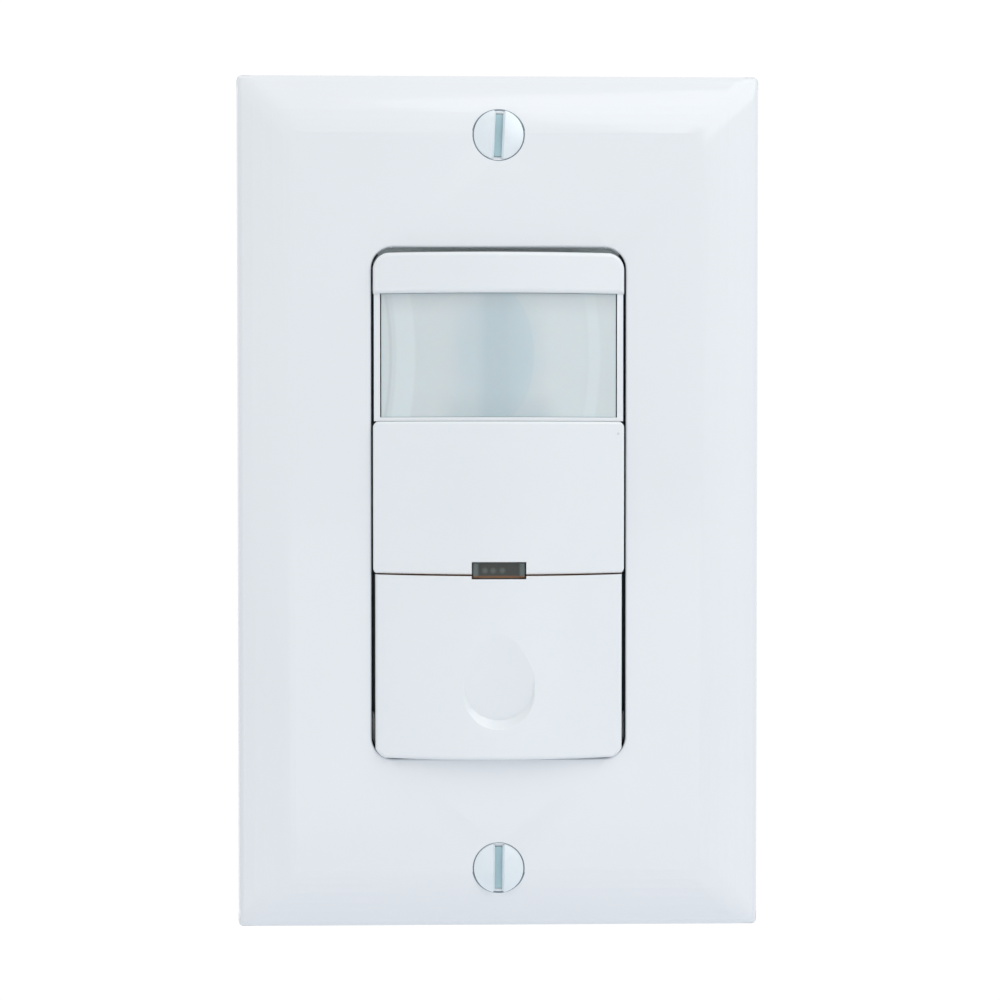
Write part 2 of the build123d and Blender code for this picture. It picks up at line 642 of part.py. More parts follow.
def control_cover():
    """Pull-off cover over the setting dials, on four legs."""
    half = FACE_WIDTH / 2
    cover = round_box(-half, half, -COVER_BACK, -FACE_CREST - 1, COVER_BOTTOM, COVER_TOP, COVER_CORNER_RADIUS)
    cover &= crown(FACE_CREST)
    cover &= bowed_region(COVER_BOTTOM, COVER_BOW, COVER_TOP + 1)
    cover -= notch()
    outer = [
        edge for edge in front_edges(cover, COVER_BACK + 0.6)
        if abs(edge.center().X) > NOTCH_HALF_WIDTH + 0.1 or edge.center().Z > 0
    ]
    cover = fillet(outer, COVER_EDGE_RADIUS)
    hollow = block(
        -half + COVER_WALL, half - COVER_WALL, 0, -FACE_CREST - 1,
        COVER_BOTTOM + COVER_WALL + COVER_BOW, COVER_TOP - COVER_WALL,
    )
    hollow &= crown(FACE_CREST - COVER_WALL)
    hollow -= block(
        -NOTCH_HALF_WIDTH - 0.9, NOTCH_HALF_WIDTH + 0.9, 0, -FACE_CREST, COVER_BOTTOM, NOTCH_TOP + 0.9,
    )
    cover -= hollow
    for side in (1, -1):
        for z in COVER_LEG_ROWS:
            cover += cover_leg(side * COVER_LEG_X, z)
    return cover


def cover_leg(x, z):
    """Straight leg with a rounded tip."""
    thick = COVER_LEG_THICKNESS / 2
    wide = COVER_LEG_WIDTH / 2
    leg = block(x - thick, x + thick, -COVER_LEG_BACK, -COVER_BACK - 0.6, z - wide, z + wide)
    tips = [e for e in leg.edges() if e.center().Y > -COVER_LEG_BACK - 0.01]
    return chamfer(tips, 0.3)


def indicator_window():
    """Smoked cap on the tower, its pane set back between two bands, with a block down the shaft."""
    gap = 0.03
    shaft = block(
        -WINDOW_SHAFT_HALF_WIDTH + gap, WINDOW_SHAFT_HALF_WIDTH - gap, -WINDOW_BACK, -TOWER_FRONT - 0.1,
        WINDOW_SHAFT_BOTTOM + gap, WINDOW_SHAFT_TOP - gap,
    )
    cap = block(-TOWER_HALF_WIDTH, TOWER_HALF_WIDTH, -TOWER_FRONT, -WINDOW_FRONT, TOWER_BOTTOM, TOWER_TOP)
    cap = chamfer(cap.faces().sort_by(Axis.Y)[0].edges(), 0.12)
    pane = block(
        -WINDOW_PANE_HALF_WIDTH, WINDOW_PANE_HALF_WIDTH, -WINDOW_FRONT + WINDOW_PANE_DEPTH, -WINDOW_FRONT - 1,
        TOWER_BOTTOM - 1, TOWER_TOP + 1,
    )
    return shaft + cap - pane


def button_blank(inset):
    """Crowned block of the button, its sides drafted and its lower corners round, drawn in by inset."""
    half = BUTTON_BASE_HALF_WIDTH - inset
    bottom = FACE_BOTTOM + inset
    spare = 1.0
    base = FRONT.offset(BUTTON_BACK) * (Pos(0, bottom / 2) * Rectangle(2 * half, 2 * spare - bottom))
    blank = extrude(base, amount=FACE_CREST - BUTTON_BACK + spare, taper=BUTTON_DRAFT)
    radius = max(FACE_CORNER_RADIUS - inset, 0.6)
    outline = round_box(-half, half, 0, -FACE_CREST - spare, bottom, spare + radius, radius)
    return blank & outline & crown(FACE_CREST - inset)


def thumb_scoop():
    """Cutter for the thumb scoop: a slot with sloping walls, as deep as its tilted round floor."""
    above = 0.3
    below = 1.3
    half = SCOOP_HALF_WIDTH + above * math.tan(math.radians(SCOOP_WALL_SLOPE))
    length = SCOOP_TOP_Z - SCOOP_Z + 3 * half
    outline = Pos(0, SCOOP_Z - half + length / 2) * SlotOverall(length, 2 * half, rotation=90)
    slot = extrude(FRONT.offset(FACE_CREST + above) * outline, amount=-above - below, taper=SCOOP_WALL_SLOPE)
    tilt = math.degrees(math.atan(SCOOP_DEPTH / (SCOOP_TOP_Z - SCOOP_DEEP_Z)))
    axis_y = SCOOP_DEPTH - FACE_CREST - SCOOP_FLOOR_RADIUS
    floor = Pos(0, axis_y, SCOOP_DEEP_Z) * Rot(tilt, 0, 0) * Cylinder(SCOOP_FLOOR_RADIUS, PLATE_HEIGHT)
    return slot & floor


def push_button():
    """Crowned push pad with a thumb scoop, ribs, and two arms with hinge pins."""
    button = button_blank(0)
    button &= below_cover(BUTTON_GAP)
    button &= bowed_region(FACE_BOTTOM, BUTTON_BOTTOM_BOW, 0)
    outer = [
        edge for edge in front_edges(button, BUTTON_BACK + 0.6)
        if edge.center().Z < COVER_BOTTOM - 2
    ]
    button = fillet(outer, FACE_EDGE_RADIUS)
    hollow = button_blank(BUTTON_WALL) & below_cover(BUTTON_GAP + BUTTON_WALL)
    button -= hollow
    button += hollow & button_ribs()
    button += rod_y(0, TACT_Z, BUTTON_POST_RADIUS, -TACT_PLUNGER_FRONT - POST_GAP, -FACE_CREST + 1.0)
    button -= thumb_scoop()
    button -= notch()
    for side in (1, -1):
        button += hinge_arm(side)
    return button


def below_cover(gap):
    """Everything below the cover's bowed lower edge, less a gap."""
    edge_z = COVER_BOTTOM - gap
    reach = FACE_WIDTH / 2 + 1
    ends = edge_z + COVER_BOW
    edge = ThreePointArc((-reach, ends), (0, edge_z), (reach, ends))
    sides = Polyline((reach, ends), (reach, FACE_BOTTOM - 1), (-reach, FACE_BOTTOM - 1), (-reach, ends))
    return Pos(0, 1, 0) * extrude(FRONT * make_face(edge + sides), amount=FACE_CREST + 3)


def button_ribs():
    """Ribs that stiffen the pad round its post."""
    front = -FACE_CREST
    back = -BUTTON_BACK - 1.0
    wide = BUTTON_RIB_WIDTH / 2
    reach = BUTTON_BASE_HALF_WIDTH
    ribs = block(-wide, wide, back, front, FACE_BOTTOM, COVER_BOTTOM - 2.2)
    ribs += block(-reach, reach, back, front, TACT_Z - wide, TACT_Z + wide)
    for x in (6.6, -6.6):
        ribs += block(x - wide, x + wide, back, front, FACE_BOTTOM, COVER_BOTTOM)
    return ribs


def hinge_arm(side):
    """Arm that reaches under the cover and ends in a hinge pin."""
    near = HINGE_ARM_X - HINGE_ARM_WIDTH / 2
    far = HINGE_ARM_X + HINGE_ARM_WIDTH / 2
    half = HINGE_ARM_THICKNESS / 2
    low, high = sorted((side * near, side * far))
    arm = block(low, high, HINGE_Y - half, HINGE_Y + half, COVER_BOTTOM - BUTTON_GAP - 0.9, HINGE_Z)
    arm += rod_x(HINGE_Y, HINGE_Z, HINGE_ARM_END_RADIUS, low, high)
    pin_low, pin_high = sorted((side * (far - 0.3), side * HINGE_PIN_END))
    return arm + rod_x(HINGE_Y, HINGE_Z, HINGE_PIN_RADIUS, pin_low, pin_high)


def button_springs():
    """Two return springs of bent strip between the bezel floor and the pad."""
    springs = []
    crown_drop = (SPRING_X + SPRING_WIDTH / 2) ** 2 / (2 * FACE_CROWN_RADIUS)
    pad_y = -(FACE_CREST - BUTTON_WALL - crown_drop)
    tip_y = pad_y + SPRING_PAD_GAP + SPRING_STRIP
    floor_y = -FLOOR_FRONT - 0.02
    outline = Polyline(
        (floor_y, SPRING_FOOT_END_Z), (floor_y, SPRING_BEND_Z), (tip_y, SPRING_TIP_Z),
        (tip_y + SPRING_STRIP, SPRING_TIP_Z + 2 * SPRING_STRIP),
        (tip_y, SPRING_TIP_Z + 2 * SPRING_STRIP), (tip_y - SPRING_STRIP, SPRING_TIP_Z),
        (floor_y - SPRING_STRIP, SPRING_BEND_Z + SPRING_STRIP / 2),
        (floor_y - SPRING_STRIP, SPRING_FOOT_END_Z), (floor_y, SPRING_FOOT_END_Z),
    )
    for x in (SPRING_X, -SPRING_X):
        strip = extrude(Plane.YZ * make_face(outline), amount=SPRING_WIDTH / 2, both=True)
        springs.append(Pos(x, 0, 0) * strip - spring_stake(x, SPRING_STAKE_HALF + 0.1))
    return Compound(springs)


def sensor_shroud():
    """Square funnel that shields the sensor from stray heat and holds the lens rim."""
    middle = (LENS_RIM_TOP + LENS_RIM_BOTTOM) / 2
    front_y = -LENS_RIM_BACK

    def funnel(shrink):
        front = FRONT.offset(-front_y) * (Pos(0, middle) * Rectangle(
            2 * (SHROUD_FRONT_HALF_WIDTH - shrink), 2 * (SHROUD_FRONT_HALF_HEIGHT - shrink),
        ))
        side = 2 * (SHROUD_BACK_HALF - shrink)
        back = FRONT.offset(-SHROUD_BACK_Y) * (Pos(0, PYRO_Z) * Rectangle(side, side))
        solid = loft([front, back], ruled=True)
        corners = [e for e in solid.edges() if e.bounding_box().size.Y > 1]
        return chamfer(corners, SHROUD_CORNER - shrink / 2)

    return funnel(0) - funnel(SHROUD_WALL)


def sensor_board():
    """Upper board, its corners cut to clear the housing pillars."""
    front = BOARD_FRONT_Y
    back = BOARD_FRONT_Y + BOARD_THICKNESS
    board = block(-BOARD_HALF_WIDTH, BOARD_HALF_WIDTH, front, back, -BOARD_HALF_HEIGHT, BOARD_HALF_HEIGHT)
    return board - corner_cuts(front, back)


def corner_cuts(front, back):
    """Corner blocks taken off a board."""
    cuts = []
    for sx in (1, -1):
        for sz in (1, -1):
            x = sx * BOARD_HALF_WIDTH
            z = sz * BOARD_HALF_HEIGHT
            cuts.append(Pos(x, (front + back) / 2, z) * Box(2 * BOARD_NOTCH, 4, 2 * BOARD_NOTCH))
    return cuts


def pyro_sensor():
    """Round metal can with a flange and a window hole."""
    front = BOARD_FRONT_Y - PYRO_HEIGHT
    can = rod_y(0, PYRO_Z, PYRO_CAN_RADIUS, BOARD_FRONT_Y, front)
    can = chamfer(can.edges().group_by(Axis.Y)[0], 0.35)
    can += rod_y(0, PYRO_Z, PYRO_FLANGE_RADIUS, BOARD_FRONT_Y, BOARD_FRONT_Y - PYRO_FLANGE_HEIGHT)
    half_width = PYRO_WINDOW_WIDTH / 2
    half_height = PYRO_WINDOW_HEIGHT / 2
    return can - block(
        -half_width, half_width, front - 1, front + PYRO_WINDOW_DEPTH,
        PYRO_Z - half_height, PYRO_Z + half_height,
    )


def sensor_filter():
    """Filter glass set in the can's window."""
    front = BOARD_FRONT_Y - PYRO_HEIGHT
    half_width = PYRO_WINDOW_WIDTH / 2 - 0.03
    half_height = PYRO_WINDOW_HEIGHT / 2 - 0.03
    return block(
        -half_width, half_width, front + 0.1, front + PYRO_WINDOW_DEPTH,
        PYRO_Z - half_height, PYRO_Z + half_height,
    )


def status_led():
    """Round light with a tapered tip, behind the window."""
    body = rod_y(LED_X, LIGHT_Z, LED_RADIUS, BOARD_FRONT_Y, 0)
    return chamfer(body.edges().group_by(Axis.Y)[0], 0.7)


def light_sensor():
    """Flat-topped round light sensor beside the status light."""
    body = rod_y(-LED_X, LIGHT_Z, LED_RADIUS, BOARD_FRONT_Y, 0.4)
    return chamfer(body.edges().group_by(Axis.Y)[0], 0.3)


def tact_switch():
    """Square switch body with a bore for its plunger."""
    half = TACT_SIZE / 2
    front = BOARD_FRONT_Y - TACT_HEIGHT
    body = block(-half, half, BOARD_FRONT_Y, front, TACT_Z - half, TACT_Z + half)
    body = chamfer(body.edges().filter_by(Axis.Y), 0.7)
    return body - rod_y(0, TACT_Z, TACT_BORE_RADIUS, front - 0.5, front + TACT_BORE_DEPTH)


def tact_plunger():
    """Plunger that the button's post pushes."""
    back = BOARD_FRONT_Y - TACT_HEIGHT + TACT_BORE_DEPTH - 0.7
    plunger = rod_y(0, TACT_Z, TACT_PLUNGER_RADIUS, back, -TACT_PLUNGER_FRONT)
    return chamfer(plunger.edges().group_by(Axis.Y)[0], 0.4)


def trimmers():
    """Three square trimmer bodies, each bored for its dial."""
    bodies = []
    half = TRIMMER_SIZE / 2
    front = BOARD_FRONT_Y - TRIMMER_HEIGHT
    for x in dial_places():
        body = block(x - half, x + half, BOARD_FRONT_Y, front, DIAL_Z - half, DIAL_Z + half)
        body = chamfer(body.edges().filter_by(Axis.Y), 0.5)
        body -= rod_y(x, DIAL_Z, DIAL_BORE_RADIUS, front - 0.5, front + DIAL_BORE_DEPTH)
        bodies.append(body)
    return Compound(bodies)


def setting_dial(x):
    """Dial with a screwdriver slot and a pointer, on a shaft that turns in its trimmer."""
    dial = rod_y(x, DIAL_Z, DIAL_RADIUS, DIAL_SHOULDER_Y, -DIAL_FRONT)
    dial = chamfer(dial.edges().group_by(Axis.Y)[0], 0.3)
    shaft_end = BOARD_FRONT_Y - TRIMMER_HEIGHT + DIAL_BORE_DEPTH - DIAL_GAP
    dial += rod_y(x, DIAL_Z, DIAL_SHAFT_RADIUS, DIAL_SHOULDER_Y - 0.2, shaft_end)
    slot = block(x - 0.35, x + 0.35, -DIAL_FRONT - 1, -DIAL_FRONT + 0.9, DIAL_Z - 1.7, DIAL_Z + 1.7)
    cross = block(x - 1.3, x + 1.3, -DIAL_FRONT - 1, -DIAL_FRONT + 0.9, DIAL_Z - 0.35, DIAL_Z + 0.35)
    point_base = DIAL_Z + 1.0
    pointer = Polyline(
        (x - 0.75, point_base), (x + 0.75, point_base), (x, point_base + 1.0), (x - 0.75, point_base),
    )
    head = Pos(0, -DIAL_FRONT + 0.9, 0) * extrude(FRONT * make_face(pointer), amount=2)
    return dial - slot - cross - head


def control_chip():
    """Small outline chip with its legs."""
    x, z = -8.5, -17.0
    front = BOARD_FRONT_Y
    chip = block(x - 2.0, x + 2.0, front - 0.2, front - 1.7, z - 4.5, z + 4.5)
    chip = chamfer(chip.faces().sort_by(Axis.Y)[0].edges(), 0.25)
    for row in range(7):
        leg_z = z - 3.81 + 1.27 * row
        chip += block(x - 3.0, x + 3.0, front, front - 0.3, leg_z - 0.2, leg_z + 0.2)
        chip += block(x - 2.4, x + 2.4, front - 0.1, front - 0.9, leg_z - 0.2, leg_z + 0.2)
    return chip


def board_header():
    """Pin header that joins the two boards."""
    x, z = 3.5, -23.0
    back = BOARD_FRONT_Y + BOARD_THICKNESS
    header = block(x - 6.35, x + 6.35, POWER_BOARD_Y, POWER_BOARD_Y - 2.5, z - 1.27, z + 1.27)
    for pin in range(5):
        pin_x = x - 5.08 + 2.54 * pin
        header += block(pin_x - 0.32, pin_x + 0.32, POWER_BOARD_Y - 2.0, back, z - 0.32, z + 0.32)
    return header


def power_board():
    """Rear board for the mains side."""
    front = POWER_BOARD_Y
    back = POWER_BOARD_Y + BOARD_THICKNESS
    board = block(-BOARD_HALF_WIDTH, BOARD_HALF_WIDTH, front, back, -BOARD_HALF_HEIGHT, BOARD_HALF_HEIGHT)
    return board - corner_cuts(front, back)


def relay():
    """Sealed relay."""
    box = block(-14.0, 1.5, POWER_BOARD_Y, POWER_BOARD_Y - 15.3, 6.5, 25.8)
    return chamfer(box.faces().sort_by(Axis.Y)[0].edges(), 0.6)


def bulk_capacitor():
    """Round electrolytic capacitor, crimped above its base."""
    radius = 4.0
    height = 11.5
    outline = Polyline(
        (0, 0), (radius, 0), (radius, 1.6), (radius - 0.35, 2.2), (radius, 2.8),
        (radius, height - 0.4), (radius - 0.4, height), (0, height), (0, 0),
    )
    can = revolve(Plane.XZ * make_face(outline), Axis.Z)
    return Pos(-9.5, POWER_BOARD_Y, -5.5) * Rot(90, 0, 0) * can


def film_capacitor():
    """Box film capacitor."""
    box = block(5.0, 11.5, POWER_BOARD_Y, POWER_BOARD_Y - 11.0, 13.0, 26.0)
    return chamfer(box.faces().sort_by(Axis.Y)[0].edges(), 0.5)


def varistor():
    """Dipped disc that stands on two leads."""
    x, z = 9.5, -4.0
    middle = POWER_BOARD_Y - 6.4
    disc = rod_z(x, middle, 4.2, z - 1.8, z + 1.8)
    disc = chamfer(disc.edges(), 0.8)
    for lead in (-2.5, 2.5):
        disc += block(x + lead - 0.3, x + lead + 0.3, middle + 2.5, POWER_BOARD_Y, z - 0.3, z + 0.3)
    return disc


def fuse():
    """Small barrel fuse on two leads."""
    x, z = 12.3, -16.0
    middle = POWER_BOARD_Y - 3.4
    body = rod_z(x, middle, 1.8, z - 5.0, z + 5.0)
    for end in (-3.6, 3.6):
        body += block(x - 0.3, x + 0.3, middle, POWER_BOARD_Y, z + end - 0.3, z + end + 0.3)
    return body


def rectifier():
    """Four-lead bridge rectifier."""
    x, z = -9.5, -19.0
    body = block(x - 3.2, x + 3.2, POWER_BOARD_Y - 0.2, POWER_BOARD_Y - 2.8, z - 4.2, z + 4.2)
    body = chamfer(body.faces().sort_by(Axis.Y)[0].edges(), 0.3)
    for end in (-2.5, 2.5):
        body += block(x - 4.4, x + 4.4, POWER_BOARD_Y, POWER_BOARD_Y - 0.5, z + end - 0.5, z + end + 0.5)
    return body


def supply_inductor():
    """Drum inductor: a winding between two round ends."""
    x, z = 0.5, -11.0
    base = POWER_BOARD_Y
    drum = rod_y(x, z, 4.2, base, base - 1.4)
    drum += rod_y(x, z, 3.6, base - 1.4, base - 7.4)
    return drum + rod_y(x, z, 4.2, base - 7.4, base - 8.8)


def rear_housing():
    """Closed rear case with screw pillars and a recess on its sides for each terminal."""
    half_width = HOUSING_WIDTH / 2
    half_height = HOUSING_HEIGHT / 2
    case = round_box(-half_width, half_width, HOUSING_DEPTH, 0, -half_height, half_height, HOUSING_RADIUS)
    rear_edges = [e for e in case.edges() if e.bounding_box().min.Y > HOUSING_DEPTH - 0.01]
    case = chamfer(rear_edges, HOUSING_EDGE_CHAMFER)
    wall = HOUSING_WALL
    inside = round_box(
        -half_width + wall, half_width - wall, HOUSING_DEPTH - wall, -1,
        -half_height + wall, half_height - wall, HOUSING_RADIUS - wall,
    )
    walls = case - inside
    for x in (PILLAR_X, -PILLAR_X):
        for z in (PILLAR_Z, -PILLAR_Z):
            walls += rod_y(x, z, PILLAR_RADIUS, 0, HOUSING_DEPTH - 1) & case
    for side, z in TERMINAL_PLACES:
        pocket_depth = TERMINAL_POCKET_DEPTH + TERMINAL_POCKET_WALL
        walls += terminal_block(side, z, pocket_depth, TERMINAL_POCKET_WALL) & case
    walls += board_rests() & inside
    for x in (PILLAR_X, -PILLAR_X):
        for z in (PILLAR_Z, -PILLAR_Z):
            walls -= rod_y(x, z, HOUSING_SCREW_BORE, -1, HOUSING_DEPTH + 1)
            walls -= rod_y(x, z, HOUSING_SCREW_HEAD_RADIUS + 0.2, HOUSING_SCREW_HEAD_Y, HOUSING_DEPTH + 1)
    walls -= strip_gauge()
    for side, z in TERMINAL_PLACES:
        walls -= terminal_block(side, z, TERMINAL_POCKET_DEPTH, 0)
        hole_x0, hole_x1 = sorted((side * (HOUSING_WIDTH / 2 - 4.2), side * HOUSING_WIDTH / 2))
        walls -= rod_x(TERMINAL_Y, z, THREAD_RADIUS + 0.15, hole_x0, hole_x1)
    return walls


def strip_gauge():
    """Groove on the back as long as the bare end that a wire needs."""
    half = STRIP_GAUGE_LENGTH / 2
    y0 = HOUSING_DEPTH - STRIP_GAUGE_DEPTH
    return block(-half, half, y0, HOUSING_DEPTH + 1, -STRIP_GAUGE_WIDTH / 2, STRIP_GAUGE_WIDTH / 2)


def terminal_block(side, z, depth, grow):
    """Block that reaches in from one side of the housing at a terminal."""
    half = TERMINAL_POCKET_SIZE / 2 + grow
    x0, x1 = sorted((side * (HOUSING_WIDTH / 2 + 0.5), side * (HOUSING_WIDTH / 2 - depth)))
    return block(x0, x1, TERMINAL_Y - half, TERMINAL_Y + half, z - half, z + half)


def board_rests():
    """Ledges along the top and bottom walls that the two boards sit on."""
    rests = []
    for sz in (1, -1):
        z0, z1 = sorted((sz * (BOARD_HALF_HEIGHT - 1.0), sz * HOUSING_HEIGHT / 2))
        for x in (-9, 9):
            for y in (BOARD_FRONT_Y + BOARD_THICKNESS, POWER_BOARD_Y + BOARD_THICKNESS):
                rests.append(block(x - BOARD_REST_WIDTH, x + BOARD_REST_WIDTH, y, HOUSING_DEPTH - 1, z0, z1))
    lower_rests = rests[0]
    for rest in rests[1:]:
        lower_rests += rest
    power_back = POWER_BOARD_Y + BOARD_THICKNESS
    board_path = block(
        -BOARD_HALF_WIDTH - 1, BOARD_HALF_WIDTH + 1, POWER_BOARD_Y - 0.05, power_back,
        -BOARD_HALF_HEIGHT - 0.3, BOARD_HALF_HEIGHT + 0.3,
    )
    return lower_rests - board_path


def housing_screws():
    """Four long screws that clamp housing, strap and bezel together."""
    screws = []
    for x in (PILLAR_X, -PILLAR_X):
        for z in (PILLAR_Z, -PILLAR_Z):
            head_back = HOUSING_SCREW_HEAD_Y + HOUSING_SCREW_HEAD_HEIGHT
            screw = rod_y(x, z, HOUSING_SCREW_HEAD_RADIUS, HOUSING_SCREW_HEAD_Y, head_back)
            screw = chamfer(screw.edges().group_by(Axis.Y)[-1], 0.4)
            screw += rod_y(x, z, HOUSING_SCREW_RADIUS, HOUSING_SCREW_TIP_Y, HOUSING_SCREW_HEAD_Y + 0.2)
            for arm in ((1.3, 0.25), (0.25, 1.3)):
                screw -= block(x - arm[0], x + arm[0], head_back - 0.8, head_back + 1, z - arm[1], z + arm[1])
            screws.append(screw)
    return Compound(screws)


def terminal_plates():
    """Brass plates on the pocket floors, each with a tapped hole."""
    plates = []
    half = TERMINAL_PLATE_SIZE / 2
    floor = HOUSING_WIDTH / 2 - TERMINAL_POCKET_DEPTH
    for side, z in TERMINAL_PLACES:
        x0, x1 = sorted((side * floor, side * (floor + TERMINAL_PLATE_THICKNESS)))
        plate = block(x0, x1, TERMINAL_Y - half, TERMINAL_Y + half, z - half, z + half)
        plate = chamfer(plate.edges().filter_by(Axis.X), 0.8)
        plate -= rod_x(TERMINAL_Y, z, THREAD_RADIUS + 0.03, x0 - 1, x1 + 1)
        plates.append(plate)
    return Compound(plates)


def terminal_screws():
    """Slotted binding head screws on the terminal plates."""
    screws = []
    seat = HOUSING_WIDTH / 2 - TERMINAL_POCKET_DEPTH + TERMINAL_PLATE_THICKNESS
    for side, z in TERMINAL_PLACES:
        head = rod_z(0, 0, TERMINAL_HEAD_RADIUS, 0, TERMINAL_HEAD_HEIGHT)
        head = chamfer(head.edges().group_by(Axis.Z)[-1], 0.4)
        head += rod_z(0, 0, THREAD_RADIUS, -1.85, 0.05)
        half = TERMINAL_SLOT_WIDTH / 2
        head -= block(-half, half, -5, 5, TERMINAL_HEAD_HEIGHT - 0.9, TERMINAL_HEAD_HEIGHT + 1)
        screws.append(Pos(side * seat, TERMINAL_Y, z) * Rot(0, side * 90, 0) * head)
    return Compound(screws)


def parts():
    """Every sub-part by name."""
    left, middle, right = dial_places()
    return {
        "wall_plate": wall_plate(),
        "plate_screws": plate_screws(),
        "mounting_strap": mounting_strap(),
        "earth_screw": earth_screw(),
        "front_bezel": front_bezel(),
        "sensor_lens": sensor_lens(),
        "sensor_shroud": sensor_shroud(),
        "control_cover": control_cover(),
        "indicator_window": indicator_window(),
        "push_button": push_button(),
        "button_springs": button_springs(),
        "sensor_board": sensor_board(),
        "pyro_sensor": pyro_sensor(),
        "sensor_filter": sensor_filter(),
        "status_led": status_led(),
        "light_sensor": light_sensor(),
        "tact_switch": tact_switch(),
        "tact_plunger": tact_plunger(),
        "trimmers": trimmers(),
        "time_dial": setting_dial(left),
        "light_dial": setting_dial(middle),
        "range_dial": setting_dial(right),
        "control_chip": control_chip(),
        "board_header": board_header(),
        "power_board": power_board(),
        "relay": relay(),
        "bulk_capacitor": bulk_capacitor(),
        "film_capacitor": film_capacitor(),
        "varistor": varistor(),
        "fuse": fuse(),
        "rectifier": rectifier(),
        "supply_inductor": supply_inductor(),
        "rear_housing": rear_housing(),
        "housing_screws": housing_screws(),
        "terminal_plates": terminal_plates(),
        "terminal_screws": terminal_screws(),
    }


os.makedirs("parts", exist_ok=True)
for node, shape in parts().items():
    export_step(shape, "parts/" + node + ".step")
    print(node, round(shape.volume, 2))
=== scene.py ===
import json
import math

import bmesh
import bpy
from bpy.props import FloatProperty, FloatVectorProperty, IntProperty, PointerProperty
from mathutils import Matrix, Vector


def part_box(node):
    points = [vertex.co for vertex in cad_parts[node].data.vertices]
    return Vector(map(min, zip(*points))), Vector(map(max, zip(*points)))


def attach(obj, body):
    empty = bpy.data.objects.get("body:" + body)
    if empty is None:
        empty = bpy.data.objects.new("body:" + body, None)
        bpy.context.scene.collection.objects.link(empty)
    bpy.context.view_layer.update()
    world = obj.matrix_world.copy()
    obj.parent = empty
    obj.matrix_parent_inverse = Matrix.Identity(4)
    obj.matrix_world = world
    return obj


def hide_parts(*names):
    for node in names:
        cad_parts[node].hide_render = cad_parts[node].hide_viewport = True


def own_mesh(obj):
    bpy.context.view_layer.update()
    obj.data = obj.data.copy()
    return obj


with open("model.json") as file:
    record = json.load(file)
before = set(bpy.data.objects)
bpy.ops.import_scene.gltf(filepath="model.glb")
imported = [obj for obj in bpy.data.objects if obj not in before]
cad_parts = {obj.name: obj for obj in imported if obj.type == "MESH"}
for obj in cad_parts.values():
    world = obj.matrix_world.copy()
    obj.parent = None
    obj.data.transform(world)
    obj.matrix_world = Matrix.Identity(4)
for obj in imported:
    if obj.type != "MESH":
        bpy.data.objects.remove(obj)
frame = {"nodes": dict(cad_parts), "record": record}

bl_info = {
    "name": "Motion Sensor Switch",
    "version": (1, 0, 0),
    "blender": (4, 5, 0),
    "location": "View3D > Sidebar > Switch",
    "description": "Dresses a one-gang motion sensor wall switch and sets up its studio",
    "category": "Object",
}

NODES = frame["nodes"]
SLOT_OF = {entry["node"]: entry["material_slot"] for entry in frame["record"]["subparts"]}
MM = 0.001
DIALS = ("time_dial", "light_dial", "range_dial")

# Sockets of the Mix node when it mixes colours.
MIX_INPUTS = (0, 6, 7)
MIX_RESULT = 2

# Moulded plastic. A cell holds a dust speck where its random value is above the limit.
DRIFT_SPAN = (0.35, 0.75)
SPECK_CELL_SCALE = 190.0
SPECK_LIMIT = 0.986
SPECK_RADIUS = 0.045
SPECK_COLOUR = (0.28, 0.27, 0.27, 1)
RUB_SCALE = 420.0
RUB_SPREAD = 0.12
PEEL_DEPTH = 0.04 * MM
COAT_ROUGHNESS = 0.04
SHADE_GAIN = 0.985

# Plated metal.
CLOUD_SCALE = 260.0
CLOUD_SPAN = (0.42, 0.72)
GRAIN_DEPTH = 0.02 * MM
GRAIN_STRENGTH = 0.4

# Light that spreads inside the face's white plastic.
FACE_TRANSLUCENCY = 0.35
FACE_SCATTER = 0.5 * MM
FACE_SCATTER_TINT = (1.0, 0.9, 0.8)

# Merging, rounding and smoothing of the two pieces made here.
MERGE_DISTANCE = 0.001 * MM
CORNER_SEGMENTS = 10
PLATE_SMOOTH_ANGLE = math.radians(50)
SPRING_SMOOTH_ANGLE = math.radians(30)

# Shaded walls of the plate's opening; depths count from the plate's front.
OPENING_HALF_WIDTH = 17.1 * MM
OPENING_HALF_HEIGHT = 33.0 * MM
OPENING_MIDDLE = -0.3 * MM
OPENING_SOFTNESS_X = 0.1 * MM
OPENING_SOFTNESS_Z = 0.3 * MM
OPENING_DEPTHS = (0.10 * MM, 0.45 * MM)

# Shaded ring round each plate screw, measured from the head's edge and from the plate's front.
SEAT_OFFSET = 0.11 * MM
SEAT_HALF_WIDTH = 0.12 * MM
SEAT_SOFTNESS = 0.03 * MM
SEAT_DEPTHS = (0.01 * MM, 0.05 * MM)

# Shaded slots of the plate screws; depths count from the screws' front.
SLOT_DEPTHS = (0.62 * MM, 0.95 * MM)

# Shaded strap behind the gap round the face.
STRAP_HALF_WIDTH = 19.0 * MM
STRAP_SOFTNESS_X = 0.5 * MM
STRAP_HALF_HEIGHT = 31.4 * MM
STRAP_MIDDLE = -2.2 * MM
STRAP_SOFTNESS_Z = 0.6 * MM

# Painted brown shade in the seam between middle cover and button.
SEAM_HALF_GAP = 0.09 * MM
SEAM_MARGIN = 0.01 * MM
SEAM_SOFTNESS = 0.02 * MM

# Printed scales; the ends are angles past the sweep.
TICK_EDGE = (0.13 * MM, 0.09 * MM)
ARC_HALF_WIDTH = 0.07 * MM
PRINT_SOFTNESS = 0.04 * MM
SCALE_ENDS = (0.08, 0.06)
INK_STRENGTH = 0.85
